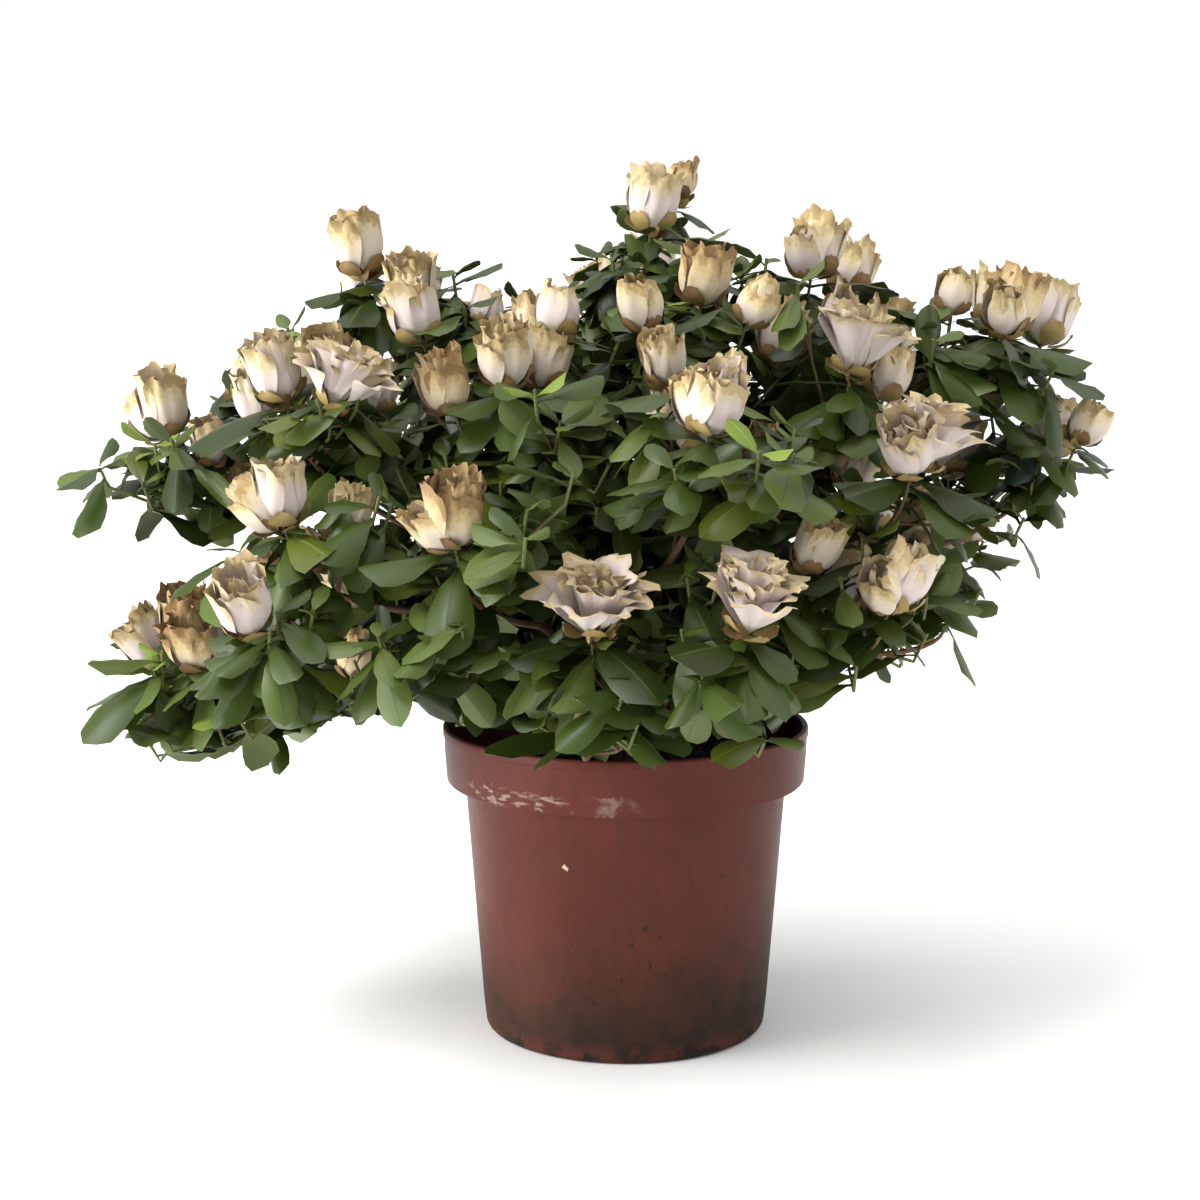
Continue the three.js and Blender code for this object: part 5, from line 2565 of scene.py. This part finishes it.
@dataclass
class Wood:
    """The stem, with its root flare and its fissured bark, and the boughs that leave it. Millimetres."""

    sides: int = 48
    rows: int = 60
    sink: float = 3.0
    bark: float = 0.75
    closing: Pair = (0.72, 0.3)
    bough_sides: int = 12
    bough_step: float = 1.6
    bough_sink: float = 1.6
    swell: float = 0.35
    swell_fade: float = 3.0
    relief: float = 0.00028
    grain: float = 520.0
    stem_finish: BarkFinish = BarkFinish("bark_stem", (40, 30, 23), (92, 75, 58), 420)
    bough_finish: BarkFinish = BarkFinish("bark_bough", (50, 33, 23), (96, 70, 50), 520)

    def stem(self) -> Piece:
        """Makes the stem, which sinks a little into the compost.

        Returns:
            The piece.
        """
        rings = []
        closing = [1.0] * (self.rows - 1) + [*self.closing]
        for i, close in enumerate(closing):
            height = mix(-self.sink, STEM.height, i / self.rows)
            up = max(0.0, height)
            fade = math.exp(-up / STEM.flare)
            for k in range(self.sides):
                angle = 2 * math.pi * k / self.sides
                lobe = 1 + STEM.lobe_depth * math.cos(STEM.lobes * angle) * fade
                spot = Vector((6 * math.cos(angle), 6 * math.sin(angle), height * 0.28))
                rough = noise.fractal(spot * 0.55, 1.0, 2.0, 4)
                radius = STEM.radius_at(up) * lobe * close + self.bark * rough
                rings.append((STEM.axis(height) + polar(angle, radius, 0.0)) * MM)
        mesh = new_mesh("stem_bark", rings, tube_faces(self.rows + 1, self.sides))
        mesh.shade_smooth()
        mesh.materials.append(self.stem_finish.material())
        return shown("stem_bark", mesh)

    def boughs(self, crown: Crown) -> Piece:
        """Makes the boughs.

        Args:
            crown: the grown crown.

        Returns:
            The piece.
        """
        lines = Lines()
        for bough in crown.boughs.values():
            steps = math.ceil(bough.curve.lengths()[-1] / self.bough_step)
            line = bough.curve.row(steps)
            root = line[0] - unit(line[1] - line[0]) * self.bough_sink
            radii = []
            for i in range(steps + 1):
                swell = 1 + self.swell * math.exp(-i * self.bough_step / self.swell_fade)
                radii.append(mix(bough.radius, BOUGH.tip, i / steps) * swell)
            lines.add([root, *line], [radii[0] * 1.1, *radii], [0] * (steps + 2))
        finishes = {0: self.bough_finish}
        return lines.grow("bough_bark", finishes, self.bough_sides, self.relief, self.grain)


def tube_faces(rows: int, sides: int) -> list[tuple[int, ...]]:
    """The faces of a tube of rings, closed at both ends.

    Args:
        rows: how many rings.
        sides: how many points to a ring, which goes round anticlockwise seen from the last one.

    Returns:
        The corners of each face.
    """
    faces = [
        (low + k, low + (k + 1) % sides, low + sides + (k + 1) % sides, low + sides + k)
        for low in range(0, (rows - 1) * sides, sides)
        for k in range(sides)
    ]
    last = (rows - 1) * sides
    return [tuple(range(sides - 1, -1, -1)), *faces, tuple(range(last, last + sides))]


def turned(section: Iterable[Pair], sides: int) -> list[Vec]:
    """The points of a section turned round the axis, in metres.

    Args:
        section: the radius and the height of each point, in millimetres.
        sides: how many points to a ring.

    Returns:
        The points, ring by ring.
    """
    angles = [2 * math.pi * k / sides for k in range(sides)]
    return [polar(angle, radius, height) * MM for radius, height in section for angle in angles]


@dataclass
class Pot:
    """The tapering pot under its deep rim band, with a rolled lip and drain holes. Millimetres."""

    height: float = 127.0
    rim_radius: float = 75.0
    band_height: float = 23.0
    band_taper: float = 1.5
    shoulder: float = 7.5
    foot_radius: float = 58.0
    foot_rounding: float = 3.0
    wall: float = 1.8
    floor: float = 2.2
    sides: int = 144
    holes: int = 8
    hole_radius: float = 5.0
    hole_ring: float = 42.0
    hole_sides: int = 24
    hole_reach: Pair = (-8.0, 12.0)
    crease: float = 32.0

    def wall_radius(self, height: float) -> float:
        """The outer wall's radius under the band."""
        top = self.rim_radius - self.band_taper - self.shoulder
        return mix(self.foot_radius, top, height / (self.height - self.band_height))

    def profile(self) -> list[Pair]:
        """The section from the middle of the underside, up the outside and down the inside.

        Returns:
            The radius and the height of each point.
        """
        band_foot = self.height - self.band_height
        wall_top = self.wall_radius(band_foot)
        rim, wall = self.rim_radius, self.wall
        round_off = self.foot_rounding
        outside = [(self.foot_radius - 6.0, 0.0)]
        outside += arc(self.foot_radius - round_off, round_off, round_off, -90, 0, 5)
        outside += [(self.wall_radius(z), z) for z in (12.0, 30.0, 55.0, 80.0, band_foot - 3.0)]
        outside += arc(wall_top + 2.2, band_foot - 2.4, 2.2, 180, 90, 4)
        outside += arc(rim - self.band_taper - 1.2, band_foot + 1.2, 1.2, -90, 0, 4)
        outside += [(rim - self.band_taper * 0.5, band_foot + self.band_height * 0.5)]
        outside += [(rim - 0.5, self.height - 4.2), (rim, self.height - 3.6)]
        outside += arc(rim - 1.2, self.height - 1.2, 1.2, 0, 180, 7)
        inside = [
            (rim - 2.4, self.height - 4.0),
            (rim - self.band_taper - wall, band_foot + wall + 1.0),
            (rim - self.band_taper - wall - 1.2, band_foot + wall),
            (wall_top - wall, band_foot + wall),
            (self.wall_radius(60.0) - wall, 60.0),
            (self.wall_radius(self.floor) - wall, self.floor),
        ]
        return [*outside, *inside]

    def build(self) -> Piece:
        """Makes the pot.

        Returns:
            The piece.
        """
        section = self.profile()
        rings = turned(section, self.sides)
        piece = shown("pot_body", new_mesh("pot_body", rings, tube_faces(len(section), self.sides)))
        drills = [self.drill(i) for i in range(self.holes)]
        for drill in drills:
            cut = piece.modifiers.new(drill.name, "BOOLEAN")
            cut.operation = "DIFFERENCE"
            cut.solver = "EXACT"
            cut.object = drill
        mesh = shaped(piece)
        piece.modifiers.clear()
        piece.data = mesh
        for drill in drills:
            bpy.data.objects.remove(drill)
        mesh.shade_smooth()
        mesh.set_sharp_from_angle(angle=math.radians(self.crease))
        mesh.materials.clear()
        mesh.materials.append(PotPlastic().material())
        return piece

    def drill(self, number: int) -> Piece:
        """The drill of one of the holes.

        Args:
            number: which of the holes.

        Returns:
            The drill.
        """
        centre = polar(2 * math.pi * number / self.holes, self.hole_ring, 0.0)
        size = (self.hole_radius, self.hole_sides)
        ends = [ring_at(centre + UP * height, UP, *size) * MM for height in self.hole_reach]
        mesh = new_mesh(f"drill_{number}", np.vstack(ends), tube_faces(2, self.hole_sides))
        return shown(mesh.name, mesh)


def arc(centre: float, height: float, radius: float, start: float, end: float, steps: int) -> list[Pair]:
    """Points of a section on part of a circle round a centre, from a start to an end in degrees."""
    angles = [math.radians(mix(start, end, i / steps)) for i in range(steps + 1)]
    return [(centre + radius * math.cos(angle), height + radius * math.sin(angle)) for angle in angles]


@dataclass
class Compost:
    """The compost: a lumpy plug that fills the pot to below its rim, with crumbs on top. Millimetres.

    The crumbs' widths are in metres, and there are so many to a square metre.
    """

    foot: float = 2.6
    foot_radius: float = 52.0
    top: float = 107.6
    plug_radius: float = 63.6
    ledge: float = 106.2
    top_radius: float = 71.3
    inner_radius: float = 1.5
    relief: float = 2.4
    roughness: float = 0.11
    rings: int = 26
    sides: int = 90
    crumbs: float = 90000.0
    crumb_kinds: int = 4
    crumb_widths: Pair = (0.0007, 0.0024)
    crumb_dents: float = 0.45
    seed: int = 5

    def ground(self) -> Mesh:
        """The plug with its uneven top.

        Returns:
            The mesh.
        """
        section = [
            (self.foot_radius, self.foot),
            (self.plug_radius, self.ledge - 1.0),
            (self.plug_radius, self.ledge),
            (self.top_radius, self.ledge),
        ]
        points = turned(section, self.sides)
        for i in range(self.rings + 1):
            radius = mix(self.top_radius, self.inner_radius, i / self.rings)
            for k in range(self.sides):
                spot = polar(2 * math.pi * k / self.sides, radius, 0.0)
                rough = noise.fractal(Vector(spot) * self.roughness, 1.0, 2.1, 5)
                rise = self.top + self.relief * max(-0.6, min(1.0, rough))
                points.append(np.array((spot[0], spot[1], rise)) * MM)
        return new_mesh("compost_ground", points, tube_faces(len(section) + self.rings + 1, self.sides))

    def crumb(self, number: int) -> Piece:
        """One crumb of a few faces.

        Args:
            number: which of the crumbs it is.

        Returns:
            The crumb, which isn't part of the scene.
        """
        turn = (1 + math.sqrt(5)) / 2
        shift = Vector((7.0 * number, 0, 0))
        mesh = bpy.data.meshes.new(f"crumb_{number}")
        hull = bmesh.new()
        for a, b in ((-1, turn), (1, turn), (-1, -turn), (1, -turn)):
            for spot in (Vector((a, b, 0)), Vector((0, a, b)), Vector((b, 0, a))):
                hull.verts.new(spot * (1 + self.crumb_dents * noise.noise(spot + shift)) * 0.5)
        bmesh.ops.convex_hull(hull, input=hull.verts)
        hull.to_mesh(mesh)
        hull.free()
        return bpy.data.objects.new(mesh.name, mesh)

    def build(self) -> Piece:
        """Makes the compost.

        Returns:
            The piece.
        """
        rule = Rule("compost_rule")
        density = rule.size("Density")
        seed = rule.size("Seed", "NodeSocketInt")
        ground = rule.geometry
        normal = rule.add("GeometryNodeInputNormal", {}).outputs[0]
        spot = rule.add("GeometryNodeInputPosition", {}).outputs[0]
        facing = rule.above(normal, 0.5)
        high = rule.above(spot, (self.ledge - 1.0) * MM)
        places = {"Selection": rule.both(facing, high), "Density": density, "Seed": seed}
        rule.step("GeometryNodeDistributePointsOnFaces", places)
        angles = rule.chance("FLOAT_VECTOR", {0: (0, 0, 0), 1: (6.28, 6.28, 6.28), "Seed": 3})
        turn = rule.add("FunctionNodeEulerToRotation", {0: angles}).outputs[0]
        large = rule.chance("FLOAT", {2: self.crumb_widths[0], 3: self.crumb_widths[1], "Seed": 8})
        which = rule.chance("INT", {4: 0, 5: self.crumb_kinds - 1, "Seed": 11})
        rule.set_out([self.crumb(i) for i in range(self.crumb_kinds)], which, turn, large)
        both = rule.add("GeometryNodeJoinGeometry", {0: ground})
        rule.give(both.inputs[0], rule.geometry)
        rule.geometry = both.outputs[0]
        rule.step("GeometryNodeRealizeInstances", {})
        rule.dress(CompostFinish())
        return rule.grow(self.ground(), "compost_top", {"Density": self.crumbs, "Seed": self.seed})


@dataclass(frozen=True)
class Lamp:
    """A soft square light: where it hangs, the length of its side and its power in watts."""

    name: str
    place: Triple
    side: float
    power: float


@dataclass
class Studio:
    """The pale floor, the soft lights and the camera. Metres and degrees.

    The walls' and the ceiling's light each go from one height of a direction to another.
    """

    floor_radius: float = 20.0
    floor_sides: int = 96
    floor_drop: float = 0.0002
    camera_at: Triple = EYE
    pitch: float = 9.0
    lens: float = 74.4
    sensor: float = 36.0
    clip: float = 100.0
    aim: Triple = (0, 0, 0.2)
    sun: float = 1.9
    sun_width: float = 25.0
    sun_from: Triple = (-0.5, -0.45, 1.0)
    lamps: tuple[Lamp, ...] = (
        Lamp("lamp_left", (-1.3, -0.45, 0.4), 0.9, 27.0),
        Lamp("lamp_right", (1.3, -0.2, 0.6), 0.9, 5.0),
    )
    horizon: float = 1.02
    walls: float = 0.4
    ceiling: float = 1.8
    walls_from: Pair = (0.1, 0.34)
    ceiling_from: Pair = (0.5, 0.85)

    def build(self) -> None:
        """Sets up the floor, the world, the lights and the camera."""
        turns = [2 * math.pi * k / self.floor_sides for k in range(self.floor_sides)]
        circle = [polar(turn, self.floor_radius, -self.floor_drop) for turn in turns]
        floor = shown("floor", new_mesh("floor", circle, [tuple(range(self.floor_sides))]))
        floor.data.materials.append(FloorFinish().material())
        floor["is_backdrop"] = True
        bpy.context.scene.world = self.surround()
        sun = bpy.data.lights.new("sun", "SUN")
        sun.energy = self.sun
        sun.angle = math.radians(self.sun_width)
        self.hang(sun, self.sun_from)
        for lamp in self.lamps:
            light = bpy.data.lights.new(lamp.name, "AREA")
            light.size = lamp.side
            light.energy = lamp.power
            self.hang(light, lamp.place)
        self.look()
        bpy.context.scene.view_settings.view_transform = "Standard"

    def surround(self) -> bpy.types.World:
        """The room's light: white at the horizon, softer from the walls and strongest from overhead.

        Returns:
            The world.
        """
        world = bpy.data.worlds.new("studio")
        world.use_nodes = True
        tree = Tree(world.node_tree)
        ways = tree.add("ShaderNodeTexCoord", {}).outputs["Generated"]
        height = tree.add("ShaderNodeSeparateXYZ", {0: ways}).outputs[2]
        low = tree.ramp(height, *self.walls_from, (self.horizon, self.walls))
        high = tree.ramp(height, *self.ceiling_from, (0.0, self.ceiling - self.walls))
        glow = world.node_tree.nodes["Background"].inputs
        tree.give(glow[0], (1.0, 1.0, 1.0, 1.0))
        tree.give(glow[1], tree.math("ADD", low, high))
        return world

    def hang(self, light: bpy.types.Light, spot: Triple) -> None:
        """Hangs a light where it looks at the crown.

        Args:
            light: the light.
            spot: where it hangs.
        """
        held = bpy.data.objects.new(light.name, light)
        gaze = Vector(self.aim) - Vector(spot)
        turn = gaze.to_track_quat("-Z", "Y").to_matrix().to_4x4()
        held.matrix_world = Matrix.Translation(spot) @ turn
        bpy.context.scene.collection.objects.link(held)

    def look(self) -> None:
        """Sets up the camera."""
        lens = bpy.data.cameras.new("camera")
        lens.lens = self.lens
        lens.sensor_width = self.sensor
        lens.clip_end = self.clip
        camera = bpy.data.objects.new("camera", lens)
        tilt = Matrix.Rotation(math.radians(90 - self.pitch), 4, "X")
        camera.matrix_world = Matrix.Translation(self.camera_at) @ tilt
        bpy.context.scene.collection.objects.link(camera)
        bpy.context.scene.camera = camera


def main() -> None:
    """Builds the plant and its studio, and reports each piece."""
    Studio().build()
    crown = Crown(Finer())
    wood = Wood()
    limbs = [f"bough_{name}" for name in crown.boughs]
    masses = [f"foliage_{name}" for name in crown.boughs]
    leaves = Foliage().build(crown)
    dressed = [
        (Pot().build(), "pot", ["pot"]),
        (Compost().build(), "compost", ["soil"]),
        (wood.stem(), "bark", ["stem"]),
        (wood.boughs(crown), "bark", limbs),
        (Twigs().build(crown), "foliage", []),
        (leaves[0], "foliage", masses),
        *((piece, "foliage", []) for piece in leaves[1:]),
        *((piece, "foliage", []) for piece in Blossoms().build(crown)),
    ]
    for piece, slot, nodes in dressed:
        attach(piece, BODY)
        if nodes:
            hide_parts(*nodes)
        piece.data.calc_loop_triangles()
        log.info("%s: %d triangles", piece.name, len(piece.data.loop_triangles))
    sizes = {"cad": CAD_BOX, "scene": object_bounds()}
    plain = {name: [[float(part) for part in corner] for corner in box] for name, box in sizes.items()}


if __name__ == "__main__":
    logging.basicConfig(level=logging.INFO, format="%(message)s")
    main()
